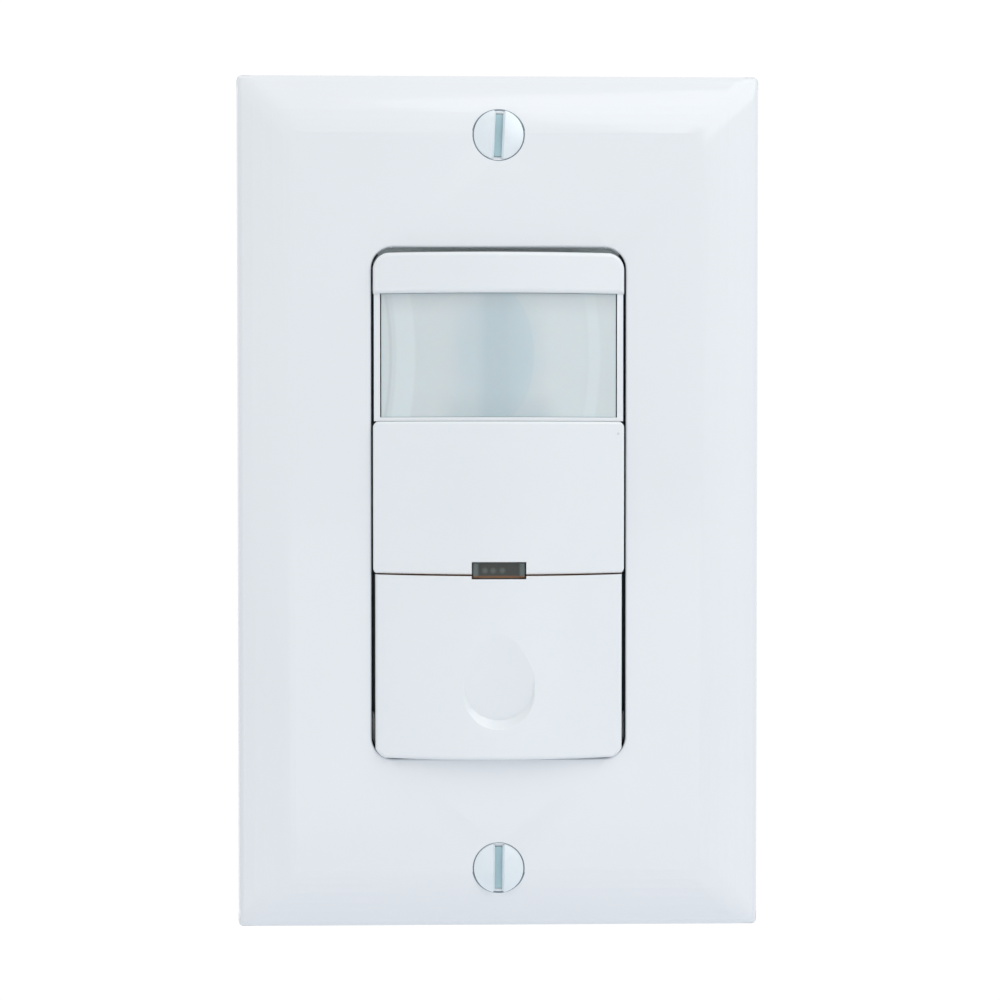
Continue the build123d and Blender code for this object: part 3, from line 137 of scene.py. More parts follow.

# Painted shade where the sensor shows through the lens: a bluish oval with a darker core. The soft and
# crisp spans are radii, 1 being the oval's edge.
LENS_CLOUD_SCALE = 160.0
LENS_CLOUD_GAIN = 1.06
OVAL_X = -0.4 * MM
OVAL_HALF_WIDTH = 5.1 * MM
OVAL_HALF_HEIGHT = 9.0 * MM
OVAL_GAIN = 1.04
SOFT_OVAL_SPAN = (1.45, 0.6)
SOFT_OVAL_STRENGTH = 0.6
CRISP_OVAL_SPAN = (1.0, 0.96)
CRISP_OVAL_SIDE = (0.5 * MM, 2.5 * MM)
CRISP_OVAL_STRENGTH = 0.3
CORE_X = -0.3 * MM
CORE_HALF_WIDTH = 0.9 * MM
CORE_SOFTNESS = 2.2 * MM
CORE_STRENGTH = 0.7
CORE_GAIN = 0.97

# Shade under the cap, from the lens's upper edge, and at the foot, from its lower edge.
CAP_SHADE_SPAN = (-4.6 * MM, -0.9 * MM)
CAP_SHADE_STRENGTH = 0.42
CAP_SHADE_GAIN = 0.72
FOOT_SHADE_SPAN = (5.5 * MM, 1.5 * MM)
FOOT_SHADE_HALF_WIDTH = 5.0 * MM
FOOT_SHADE_SOFTNESS = 4.0 * MM
FOOT_SHADE_STRENGTH = 0.4
FOOT_SHADE_GAIN = 0.86

# Fine upright ribs of the lens, and how far light spreads in it.
LENS_RIB_SCALE = 430.0
LENS_RIB_DEPTH = 0.03 * MM
LENS_RIB_STRENGTH = 0.03
LENS_SCATTER = 2.0 * MM

# Upright streaks of painted light and shade on the lens: how far they bow, then the centre, half width,
# softness, strength and gain of each.
STREAK_BOW = 0.9 * MM
PAINTED_LENS_STREAKS = (
    (-12.2 * MM, 1.0 * MM, 0.5 * MM, 0.6, 1.15),
    (-14.2 * MM, 0.10 * MM, 0.2 * MM, 0.5, 0.86),
    (9.0 * MM, 1.6 * MM, 2.0 * MM, 0.4, 1.10),
    (12.6 * MM, 0.5 * MM, 0.5 * MM, 0.5, 1.14),
)

# Smoked window: painted glow of lights seen through it, painted light where its ends and lower edge change
# colour, and its haze.
WINDOW_SPOTS = (-1.83 * MM, -0.76 * MM, 0.46 * MM)
SPOT_DEPTH = 0.3 * MM
SPOT_DROP = 0.05 * MM
SPOT_SPAN = (0.55 * MM, 0.1 * MM)
SPOT_STRENGTH = 0.5
WINDOW_CLEAR_HALF_WIDTH = 2.5 * MM
WINDOW_END_SOFTNESS = 0.35 * MM
WINDOW_FOOT_SPAN = (0.42 * MM, 0.12 * MM)
HAZE_SCALE = 900.0
HAZE_SPREAD = 0.2
HAZE_LEAST = 0.08

# Small parts of the electronics: node, colour, roughness.
SMALL_PARTS = (
    ("trimmers", (0.01, 0.06, 0.30), 0.4),
    ("tact_plunger", (0.10, 0.10, 0.11), 0.45),
    ("relay", (0.008, 0.025, 0.12), 0.35),
    ("bulk_capacitor", (0.008, 0.010, 0.016), 0.25),
    ("film_capacitor", (0.48, 0.30, 0.02), 0.3),
    ("varistor", (0.015, 0.06, 0.26), 0.5),
    ("fuse", (0.70, 0.68, 0.62), 0.2),
    ("supply_inductor", (0.05, 0.022, 0.010), 0.35),
    ("status_led", (0.06, 0.45, 0.09), 0.15),
    ("light_sensor", (0.62, 0.66, 0.68), 0.12),
    ("sensor_filter", (0.010, 0.011, 0.014), 0.10),
)

# The studio's surround. Each span is the part of a direction over which its shade sets in.
SKY_LEFT = (1.30, 1.30, 1.32, 1)
SKY_RIGHT = (0.94, 0.94, 0.97, 1)
SKY_FAR_ASIDE = (0.60, 0.62, 0.66, 1)
SKY_ABOVE = (0.84, 0.84, 0.84, 1)
SKY_FRONT = (0.68, 0.69, 0.70, 1)
SKY_BEHIND_CAMERA = (0.34, 0.35, 0.36, 1)
RIGHT_SPAN = (-0.6, 0.95)
FAR_ASIDE_SPAN = (0.80, 0.97)
ABOVE_SPAN = (-0.2, 0.95)
FRONT_SPAN = (0.45, 0.98)
BEHIND_CAMERA_X = -0.09
BEHIND_CAMERA_SPAN = (0.30, 0.06)
BACKDROP_COLOUR = (1, 1, 1, 1)
BACKDROP_STRENGTH = 1.02

# Places and sizes in metres, the sensor's width in millimetres. Both lights aim at the origin.
KEY_PLACE = (0.34, -0.38, 0.44)
KEY_SIZE = (0.75, 0.60)
FILL_PLACE = (-0.05, -0.50, -0.08)
FILL_SIZE = (0.40, 0.12)
CAMERA_TARGET = (0.31 * MM, 0, 0.25 * MM)
SENSOR_WIDTH = 36.0
CLIP_START = 0.01


def colour_property(name, description, default):
    """Colour setting of a finish."""
    return FloatVectorProperty(
        name=name, description=description, subtype="COLOR", size=3, min=0, max=1, default=default
    )


def length_property(name, description, default):
    """Length setting in metres."""
    return FloatProperty(name=name, description=description, default=default, unit="LENGTH", precision=5)


def angle_property(name, description, degrees):
    """Angle setting, its default given in degrees."""
    return FloatProperty(name=name, description=description, default=math.radians(degrees), subtype="ANGLE")


def power_property(name, description, default):
    """Power setting of a light."""
    return FloatProperty(name=name, description=description, default=default, unit="POWER")


class SwitchColours(bpy.types.PropertyGroup):
    """Colours of the finishes, and of the shade and light painted on them."""

    plate: colour_property("Plate", "Glossy white of the wall plate", (0.80, 0.833, 0.862))
    face: colour_property("Face", "Glossy white of bezel, cover and button", (0.80, 0.837, 0.862))
    lens: colour_property("Lens", "Milky sheet of the sensor lens", (0.615, 0.672, 0.688))
    # Painted shade where the sensor shows through the lens.
    lens_core_painted_shade: colour_property("Lens core", "Bluish shade where the sensor shows", (0.49, 0.593, 0.632))
    smoke: colour_property("Smoke", "Smoked plastic of the indicator window", (0.035, 0.042, 0.038))
    zinc: colour_property("Zinc", "Bright zinc of the plate screws", (0.80, 0.865, 0.90))
    steel: colour_property("Steel", "Zinc plated sheet of the strap", (0.82, 0.88, 0.86))
    housing: colour_property("Housing", "Black plastic of the rear housing", (0.020, 0.021, 0.023))
    brass: colour_property("Brass", "Brass of the terminal plates", (0.66, 0.47, 0.16))
    board: colour_property("Board", "Solder mask of the boards", (0.015, 0.11, 0.045))
    ink: colour_property("Ink", "Grey ink of the dial scales", (0.09, 0.10, 0.12))
    # Painted shade: on the walls of the plate's opening, round the plate screws' heads, brown in the seam
    # over the button, in the screws' slots and on the strap behind the gap.
    opening: colour_property("Opening", "Shade on the walls of the plate's opening", (0.03, 0.035, 0.045))
    seat: colour_property("Seat", "Shade round the plate screws' heads", (0.22, 0.28, 0.32))
    seam: colour_property("Seam", "Brown in the seam over the button", (0.85, 0.60, 0.44))
    slot: colour_property("Slot", "Shade in the plate screws' slots", (0.62, 0.77, 0.79))
    behind: colour_property("Behind", "Shade on the strap behind the opening's gap", (0.05, 0.06, 0.07))
    # Painted light on the indicator window: lighter ends, lights seen through it and a warm lower edge.
    window_ends_painted_light: colour_property("Window ends", "Lighter ends of the indicator window", (0.11, 0.14, 0.135))
    window_spot_painted_glow: colour_property("Window spot", "Lights seen through the window", (0.16, 0.18, 0.16))
    window_foot_painted_light: colour_property("Window foot", "Warm lower edge of the window", (0.20, 0.085, 0.025))
    shroud: colour_property("Shroud", "Grey plastic of the sensor's funnel", (0.30, 0.34, 0.38))
    earth: colour_property("Earth", "Green of the earth screw", (0.02, 0.20, 0.07))
    spring: colour_property("Spring", "Steel of the button's springs", (0.45, 0.46, 0.47))
    can: colour_property("Can", "Metal can of the sensor", (0.60, 0.60, 0.57))
    component: colour_property("Component", "Black plastic of chips and connectors", (0.012, 0.012, 0.013))
    dial: colour_property("Dial", "White of the setting dials", (0.62, 0.62, 0.58))
    dial_shade: colour_property("Dial shade", "Drift of the setting dials' white", (0.55, 0.55, 0.52))
    floor: colour_property("Floor", "White of the studio's floor", (0.83, 0.86, 0.91))


class StudioSettings(bpy.types.PropertyGroup):
    """Camera and light of the studio."""

    distance: length_property("Distance", "From the camera to the plate's back", 0.256)
    left: angle_property("Left", "How far the camera stands to the left", 1.2)
    above: angle_property("Above", "How far the camera stands above", 1.15)
    focal: FloatProperty(
        name="Focal length", description="Lens of the camera, in millimetres", default=68.2, unit="CAMERA"
    )
    surround: FloatProperty(name="Surround", description="Strength of the soft surround", default=0.97)
    key: power_property("Key", "Power of the large light at upper right", 1.70)
    fill: power_property("Fill", "Power of the low light in front", 0.09)
    floor_drop: length_property("Floor drop", "From the origin down to the floor", 0.15)
    floor_radius: length_property("Floor radius", "Radius of the floor disc", 0.26)


class SwitchSizes(bpy.types.PropertyGroup):
    """Sizes of printed scales, seam, plate corners and springs."""

    tick_count: IntProperty(name="Ticks", description="Marks round each dial", default=11, min=3)
    tick_radius: length_property("Tick radius", "From a dial's axis to the middle of its marks", 3.15 * MM)
    tick_length: length_property("Tick length", "Length of a mark", 0.5 * MM)
    scale_sweep: angle_property("Scale sweep", "How far a scale reaches to each side", 135.0)
    seam_bow: length_property("Seam bow", "How far the gap over the button sags at its middle", 0.17 * MM)
    corner_radius: length_property("Corner radius", "Rounding of the wall plate's four corners", 1.8 * MM)
    spring_travel: length_property("Spring travel", "How far the button flattens its springs", 0.34 * MM)
    mitre_width: length_property("Mitre width", "How far a mitre's rounding reaches to each side", 1.7 * MM)


def colours():
    """Colour settings of the scene."""
    return bpy.context.scene.switch_colours


def sizes():
    """Size settings of the scene."""
    return bpy.context.scene.switch_sizes


def studio():
    """Studio settings of the scene."""
    return bpy.context.scene.switch_studio


def rgba(colour, gain=1.0):
    """Colour with an alpha of 1, brightened by the gain but kept within 1."""
    return tuple(min(1.0, channel * gain) for channel in colour) + (1.0,)


def new_group(name, inputs, outputs):
    """Shader node group with named sockets; returns the group and its end nodes."""
    group = bpy.data.node_groups.new(name, "ShaderNodeTree")
    for label, kind, default in inputs:
        socket = group.interface.new_socket(label, in_out="INPUT", socket_type=kind)
        socket.default_value = default
    for label, kind in outputs:
        group.interface.new_socket(label, in_out="OUTPUT", socket_type=kind)
    start = group.nodes.new("NodeGroupInput")
    end = group.nodes.new("NodeGroupOutput")
    return group, start, end


def fill(node, **values):
    """Sets constant inputs whose names have spaces, written with underscores."""
    for key, value in values.items():
        node.inputs[key.replace("_", " ")].default_value = value
    return node


def object_coordinates(tree):
    """Object coordinates of the shaded point."""
    return tree.nodes.new("ShaderNodeTexCoord").outputs["Object"]


def math_node(tree, operation, *values, clamp=False):
    """Math node; each value is a socket or a number."""
    node = tree.nodes.new("ShaderNodeMath")
    node.operation = operation
    node.use_clamp = clamp
    for index, value in enumerate(values):
        if isinstance(value, (int, float)):
            node.inputs[index].default_value = value
        else:
            tree.links.new(value, node.inputs[index])
    return node.outputs[0]


def mix_colour(tree, factor, first, second, blend="MIX"):
    """Colour mix; each side is a socket or a colour."""
    node = tree.nodes.new("ShaderNodeMix")
    node.data_type = "RGBA"
    node.blend_type = blend
    for index, value in zip(MIX_INPUTS, (factor, first, second)):
        if isinstance(value, bpy.types.NodeSocket):
            tree.links.new(value, node.inputs[index])
        else:
            node.inputs[index].default_value = value
    return node.outputs[MIX_RESULT]


def ramp(tree, factor, low, high):
    """Smooth step from 0 at low to 1 at high."""
    node = tree.nodes.new("ShaderNodeMapRange")
    node.interpolation_type = "SMOOTHSTEP"
    tree.links.new(factor, node.inputs["Value"])
    node.inputs["From Min"].default_value = low
    node.inputs["From Max"].default_value = high
    return node.outputs["Result"]


def ramp_from(tree, factor, start, span):
    """Smooth step whose two ends are given as distances from a start."""
    return ramp(tree, factor, start + span[0], start + span[1])


def moulded_group():
    """Moulded plastic: soft colour drift, dust specks, fine roughness change and orange peel."""
    name = "Moulded Plastic"
    if name in bpy.data.node_groups:
        return bpy.data.node_groups[name]
    group, start, end = new_group(
        name,
        (
            ("Base", "NodeSocketColor", (0.8, 0.8, 0.8, 1)),
            ("Shade", "NodeSocketColor", (0.7, 0.7, 0.7, 1)),
            ("Drift Scale", "NodeSocketFloat", 30.0),
            ("Speck Amount", "NodeSocketFloat", 0.5),
            ("Roughness", "NodeSocketFloat", 0.2),
            ("Peel Scale", "NodeSocketFloat", 900.0),
            ("Peel", "NodeSocketFloat", 0.05),
        ),
        (("Color", "NodeSocketColor"), ("Roughness", "NodeSocketFloat"), ("Normal", "NodeSocketVector")),
    )
    coordinates = object_coordinates(group)
    drift = fill(group.nodes.new("ShaderNodeTexNoise"), Detail=3.0, Roughness=0.55)
    group.links.new(coordinates, drift.inputs["Vector"])
    group.links.new(start.outputs["Drift Scale"], drift.inputs["Scale"])
    drift_mask = ramp(group, drift.outputs["Fac"], *DRIFT_SPAN)
    tinted = mix_colour(group, drift_mask, start.outputs["Base"], start.outputs["Shade"])
    cells = fill(group.nodes.new("ShaderNodeTexVoronoi"), Scale=SPECK_CELL_SCALE)
    group.links.new(coordinates, cells.inputs["Vector"])
    picker = group.nodes.new("ShaderNodeSeparateColor")
    group.links.new(cells.outputs["Color"], picker.inputs["Color"])
    chosen = math_node(group, "GREATER_THAN", picker.outputs["Red"], SPECK_LIMIT)
    dot = math_node(group, "LESS_THAN", cells.outputs["Distance"], SPECK_RADIUS)
    speck = math_node(group, "MULTIPLY", chosen, dot)
    speck = math_node(group, "MULTIPLY", speck, start.outputs["Speck Amount"])
    specked = mix_colour(group, speck, tinted, SPECK_COLOUR)
    group.links.new(specked, end.inputs["Color"])
    rubbed = fill(group.nodes.new("ShaderNodeTexNoise"), Scale=RUB_SCALE, Detail=4.0)
    group.links.new(coordinates, rubbed.inputs["Vector"])
    spread = math_node(group, "MULTIPLY_ADD", rubbed.outputs["Fac"], RUB_SPREAD, -RUB_SPREAD / 2)
    rough = math_node(group, "ADD", start.outputs["Roughness"], spread, clamp=True)
    group.links.new(rough, end.inputs["Roughness"])
    peel = fill(group.nodes.new("ShaderNodeTexNoise"), Detail=2.0)
    group.links.new(coordinates, peel.inputs["Vector"])
    group.links.new(start.outputs["Peel Scale"], peel.inputs["Scale"])
    bump = fill(group.nodes.new("ShaderNodeBump"), Distance=PEEL_DEPTH)
    group.links.new(peel.outputs["Fac"], bump.inputs["Height"])
    group.links.new(start.outputs["Peel"], bump.inputs["Strength"])
    group.links.new(bump.outputs["Normal"], end.inputs["Normal"])
    return group


def metal_group():
    """Drawn or plated metal: stretched grain and cloudy plating."""
    name = "Plated Metal"
    if name in bpy.data.node_groups:
        return bpy.data.node_groups[name]
    group, start, end = new_group(
        name,
        (
            ("Base", "NodeSocketColor", (0.7, 0.7, 0.7, 1)),
            ("Stain", "NodeSocketColor", (0.5, 0.5, 0.5, 1)),
            ("Grain Stretch", "NodeSocketVector", (1500.0, 200.0, 1500.0)),
            ("Roughness", "NodeSocketFloat", 0.3),
            ("Grain", "NodeSocketFloat", 0.1),
        ),
        (("Color", "NodeSocketColor"), ("Roughness", "NodeSocketFloat"), ("Normal", "NodeSocketVector")),
    )
    coordinates = object_coordinates(group)
    cloud = fill(group.nodes.new("ShaderNodeTexNoise"), Scale=CLOUD_SCALE, Detail=5.0, Roughness=0.6)
    group.links.new(coordinates, cloud.inputs["Vector"])
    cloud_mask = ramp(group, cloud.outputs["Fac"], *CLOUD_SPAN)
    stained = mix_colour(group, cloud_mask, start.outputs["Base"], start.outputs["Stain"])
    group.links.new(stained, end.inputs["Color"])
    stretched = group.nodes.new("ShaderNodeVectorMath")
    stretched.operation = "MULTIPLY"
    group.links.new(coordinates, stretched.inputs[0])
    group.links.new(start.outputs["Grain Stretch"], stretched.inputs[1])
    grain = fill(group.nodes.new("ShaderNodeTexNoise"), Scale=1.0, Detail=3.0)
    group.links.new(stretched.outputs[0], grain.inputs["Vector"])
    spread = math_node(group, "MULTIPLY", grain.outputs["Fac"], start.outputs["Grain"])
    rough = math_node(group, "ADD", start.outputs["Roughness"], spread, clamp=True)
    group.links.new(rough, end.inputs["Roughness"])
    bump = fill(group.nodes.new("ShaderNodeBump"), Distance=GRAIN_DEPTH, Strength=GRAIN_STRENGTH)
    group.links.new(grain.outputs["Fac"], bump.inputs["Height"])
    group.links.new(bump.outputs["Normal"], end.inputs["Normal"])
    return group


def new_material(name):
    """New node material, returned with its tree and its shader."""
    material = bpy.data.materials.new(name)
    material.use_nodes = True
    return material, material.node_tree, shader_of(material)


def place_group(tree, group, **values):
    """Group node with constants on its inputs."""
    node = tree.nodes.new("ShaderNodeGroup")
    node.node_tree = group
    return fill(node, **values)


def shader_of(material):
    """The material's shader."""
    return material.node_tree.nodes["Principled BSDF"]


def connect_look(tree, look, shader):
    """Joins a finish's outputs to the shader."""
    tree.links.new(look.outputs["Color"], shader.inputs["Base Color"])
    tree.links.new(look.outputs["Roughness"], shader.inputs["Roughness"])
    tree.links.new(look.outputs["Normal"], shader.inputs["Normal"])


def plastic(
    name, base, shade, roughness=0.2, speck=0.0, peel=0.08, peel_scale=900.0, drift=30.0, coat=0.0,
):
    """Moulded plastic finish."""
    material, tree, shader = new_material(name)
    look = place_group(
        tree, moulded_group(), Base=rgba(base), Shade=rgba(shade), Drift_Scale=drift,
        Speck_Amount=speck, Roughness=roughness, Peel_Scale=peel_scale, Peel=peel,
    )
    connect_look(tree, look, shader)
    fill(shader, IOR=1.5, Coat_Weight=coat, Coat_Roughness=COAT_ROUGHNESS)
    return material


def metal(
    name, base, stain, roughness=0.3, grain=0.15, stretch=(1500.0, 200.0, 1500.0), metallic=1.0,
):
    """Plated or drawn metal finish; less metallic where the plating is dull."""
    material, tree, shader = new_material(name)
    look = place_group(
        tree, metal_group(), Base=rgba(base), Stain=rgba(stain), Grain_Stretch=stretch,
        Roughness=roughness, Grain=grain,
    )
    connect_look(tree, look, shader)
    fill(shader, Metallic=metallic)
    return material


def scaled(colour, gain):
    """Colour times a gain."""
    return tuple(channel * gain for channel in colour)


def dress(node, material):
    """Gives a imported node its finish."""
    slots = NODES[node].material_slots
    if not slots:
        raise RuntimeError("the node has no material slot: " + node)
    for entry in slots:
        entry.material = material


def band(tree, value, centre, half_width, softness):
    """Mask of a band: 1 within half_width of its centre, fading over the softness."""
    away = math_node(tree, "ABSOLUTE", math_node(tree, "SUBTRACT", value, centre))
    return ramp(tree, away, half_width + softness, half_width)


def multiply(tree, *factors):
    """Product of sockets and numbers."""
    product = factors[0]
    for factor in factors[1:]:
        product = math_node(tree, "MULTIPLY", product, factor)
    return product


def place_axes(tree):
    """The three object coordinates as separate sockets."""
    parts = tree.nodes.new("ShaderNodeSeparateXYZ")
    tree.links.new(object_coordinates(tree), parts.inputs["Vector"])
    return parts.outputs["X"], parts.outputs["Y"], parts.outputs["Z"]


def distance_from_axis(tree, x, z, centre_x, centre_z):
    """Distance from a line along Y, with the offsets it came from."""
    dx = math_node(tree, "SUBTRACT", x, centre_x)
    dz = math_node(tree, "SUBTRACT", z, centre_z)
    squares = math_node(tree, "ADD", multiply(tree, dx, dx), multiply(tree, dz, dz))
    return math_node(tree, "SQRT", squares), dx, dz


def tint_where(material, mask, tint):
    """Multiplies a finish's colour by a tint where the mask is 1."""
    tree = material.node_tree
    socket = shader_of(material).inputs["Base Color"]
    painted = mix_colour(tree, mask, socket.links[0].from_socket, rgba(tint), blend="MULTIPLY")
    tree.links.new(painted, socket)


def start_editing(piece):
    """Makes a piece the only one selected and opens it in edit mode."""
    deselect_all()
    bpy.context.view_layer.objects.active = piece
    piece.select_set(True)
    bpy.ops.object.mode_set(mode="EDIT")
    bpy.ops.mesh.select_mode(type="EDGE")


def apply_modifier(piece, kind, **settings):
    """Adds a modifier to the active piece and applies it."""
    modifier = piece.modifiers.new(kind.lower(), kind)
    for key, value in settings.items():
        setattr(modifier, key, value)
    bpy.ops.object.modifier_apply(modifier=modifier.name)


def merged_copy(name, node):
    """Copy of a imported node's mesh with its loose triangles merged, left open in edit mode."""
    piece = bpy.data.objects.new(name, NODES[node].data.copy())
    bpy.context.scene.collection.objects.link(piece)
    start_editing(piece)
    bpy.ops.mesh.select_all(action="SELECT")
    bpy.ops.mesh.remove_doubles(threshold=MERGE_DISTANCE)
    bpy.ops.mesh.mark_sharp(clear=True)
    return piece


def stand_for(piece, node, material):
    """Puts a finished piece in a fixed node's place."""
    piece.data.materials.clear()
    piece.data.materials.append(material)
    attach(piece, "device")
    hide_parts(node)


def corner_cutter(low, high, radius):
    """Deep block round the plate's box, its four edges along Y rounded."""
    clearance = 0.01 * MM
    depth_gain = 3
    size = high - low
    deselect_all()
    bpy.ops.mesh.primitive_cube_add(size=1, location=(low + high) / 2)
    cutter = bpy.context.object
    cutter.scale = (size.x + clearance, depth_gain * size.y, size.z + clearance)
    bpy.ops.object.transform_apply(location=False, rotation=False, scale=True)
    start_editing(cutter)
    bpy.ops.mesh.select_all(action="DESELECT")
    shape = bmesh.from_edit_mesh(cutter.data)
    for edge in shape.edges:
        first, second = edge.verts
        edge.select = abs(first.co.y - second.co.y) > size.y
    bmesh.update_edit_mesh(cutter.data)
    bpy.ops.mesh.bevel(offset=radius, segments=CORNER_SEGMENTS, affect="EDGES")
    bpy.ops.object.mode_set(mode="OBJECT")
    return cutter


def cut_beside_mitres(high, width):
    """Adds edges beside the plate's four mitres; smooth shading rounds only what lies between them."""
    for side in (-1, 1):
        for end in (-1, 1):
            corner = Vector((side * high.x, 0, end * high.z))
            across = Vector((side, 0, -end)).normalized()
            for offset in (-width, width):
                bpy.ops.mesh.select_all(action="SELECT")
                bpy.ops.mesh.bisect(plane_co=corner + across * offset, plane_no=across)


def rounded_plate():
    """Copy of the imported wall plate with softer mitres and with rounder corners."""
    low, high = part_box("wall_plate")
    cutter = corner_cutter(low, high, sizes().corner_radius)
    piece = merged_copy("plate_shell", "wall_plate")
    cut_beside_mitres(high, sizes().mitre_width)
    bpy.ops.object.mode_set(mode="OBJECT")
    bpy.ops.mesh.customdata_custom_splitnormals_clear()
    apply_modifier(piece, "BOOLEAN", operation="INTERSECT", solver="EXACT", object=cutter)
    bpy.data.objects.remove(cutter)
    bpy.ops.object.shade_smooth_by_angle(angle=PLATE_SMOOTH_ANGLE)
    apply_modifier(piece, "WEIGHTED_NORMAL", keep_sharp=True)
    return piece


def bending_springs():
    """Copy of the button's two strip springs, merged and smooth shaded."""
    piece = merged_copy("spring_pair", "button_springs")
    bpy.ops.object.mode_set(mode="OBJECT")
    bpy.ops.mesh.customdata_custom_splitnormals_clear()
    bpy.ops.object.shade_smooth_by_angle(angle=SPRING_SMOOTH_ANGLE)
    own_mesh(piece)
    return piece


def plate_shade(material):
    """Painted shade on the inner walls of the plate's opening and round its two screw seats."""
    tree = material.node_tree
    x, y, z = place_axes(tree)
    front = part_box("wall_plate")[0].y
    deep = ramp_from(tree, y, front, OPENING_DEPTHS)
    inside_x = band(tree, x, 0.0, OPENING_HALF_WIDTH, OPENING_SOFTNESS_X)
    inside_z = band(tree, z, OPENING_MIDDLE, OPENING_HALF_HEIGHT, OPENING_SOFTNESS_Z)
    wall = multiply(tree, inside_x, inside_z, deep)
    tint_where(material, wall, colours().opening)
    shader = shader_of(material)
    rough = math_node(tree, "MAXIMUM", shader.inputs["Roughness"].links[0].from_socket, wall)
    tree.links.new(rough, shader.inputs["Roughness"])
    coat = shader.inputs["Coat Weight"]
    bare = math_node(tree, "SUBTRACT", 1.0, wall)
    tree.links.new(multiply(tree, bare, coat.default_value), coat)
    screws_low, screws_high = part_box("plate_screws")
    head = (screws_high.x - screws_low.x) / 2
    for seat in (screws_high.z - head, screws_low.z + head):
        away = distance_from_axis(tree, x, z, 0.0, seat)[0]
        ring = band(tree, away, head + SEAT_OFFSET, SEAT_HALF_WIDTH, SEAT_SOFTNESS)
        sunk = ramp_from(tree, y, front, SEAT_DEPTHS)
        tint_where(material, multiply(tree, ring, sunk), colours().seat)


def seam_shade(material):
    """Painted brown shade on the walls of the narrow gap between middle cover and push button, which sags
    at its middle.
    """
    tree = material.node_tree
    x, _, z = place_axes(tree)
    cover_low, cover_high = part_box("control_cover")
    across = math_node(tree, "DIVIDE", x, cover_high.x)
    rise = multiply(tree, across, across, sizes().seam_bow)
    level = math_node(tree, "SUBTRACT", z, rise)
    middle = cover_low.z - SEAM_HALF_GAP
    walls = band(tree, level, middle, SEAM_HALF_GAP + SEAM_MARGIN, SEAM_SOFTNESS)
    tint_where(material, walls, colours().seam)


def dial_scales(material):
    """Grey marks and a thin arc printed on the deck round each dial."""
    settings = sizes()
    sweep = settings.scale_sweep
    step = 2 * sweep / (settings.tick_count - 1)
    inner = settings.tick_radius - settings.tick_length / 2
    tree = material.node_tree
    x, _, z = place_axes(tree)
    for node in DIALS:
        low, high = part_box(node)
        centre = (low + high) / 2
        away, dx, dz = distance_from_axis(tree, x, z, centre.x, centre.z)
        turn = math_node(tree, "ARCTAN2", dx, dz)
        swept = ramp_from(tree, math_node(tree, "ABSOLUTE", turn), sweep, SCALE_ENDS)
        nearest = multiply(tree, math_node(tree, "PINGPONG", turn, step / 2), settings.tick_radius)
        tick = multiply(
            tree, ramp(tree, nearest, *TICK_EDGE),
            band(tree, away, settings.tick_radius, settings.tick_length / 2, PRINT_SOFTNESS),
        )
        arc = band(tree, away, inner, ARC_HALF_WIDTH, PRINT_SOFTNESS)
        printed = multiply(tree, math_node(tree, "MAXIMUM", tick, arc), swept)
        tint_where(material, multiply(tree, printed, INK_STRENGTH), colours().ink)


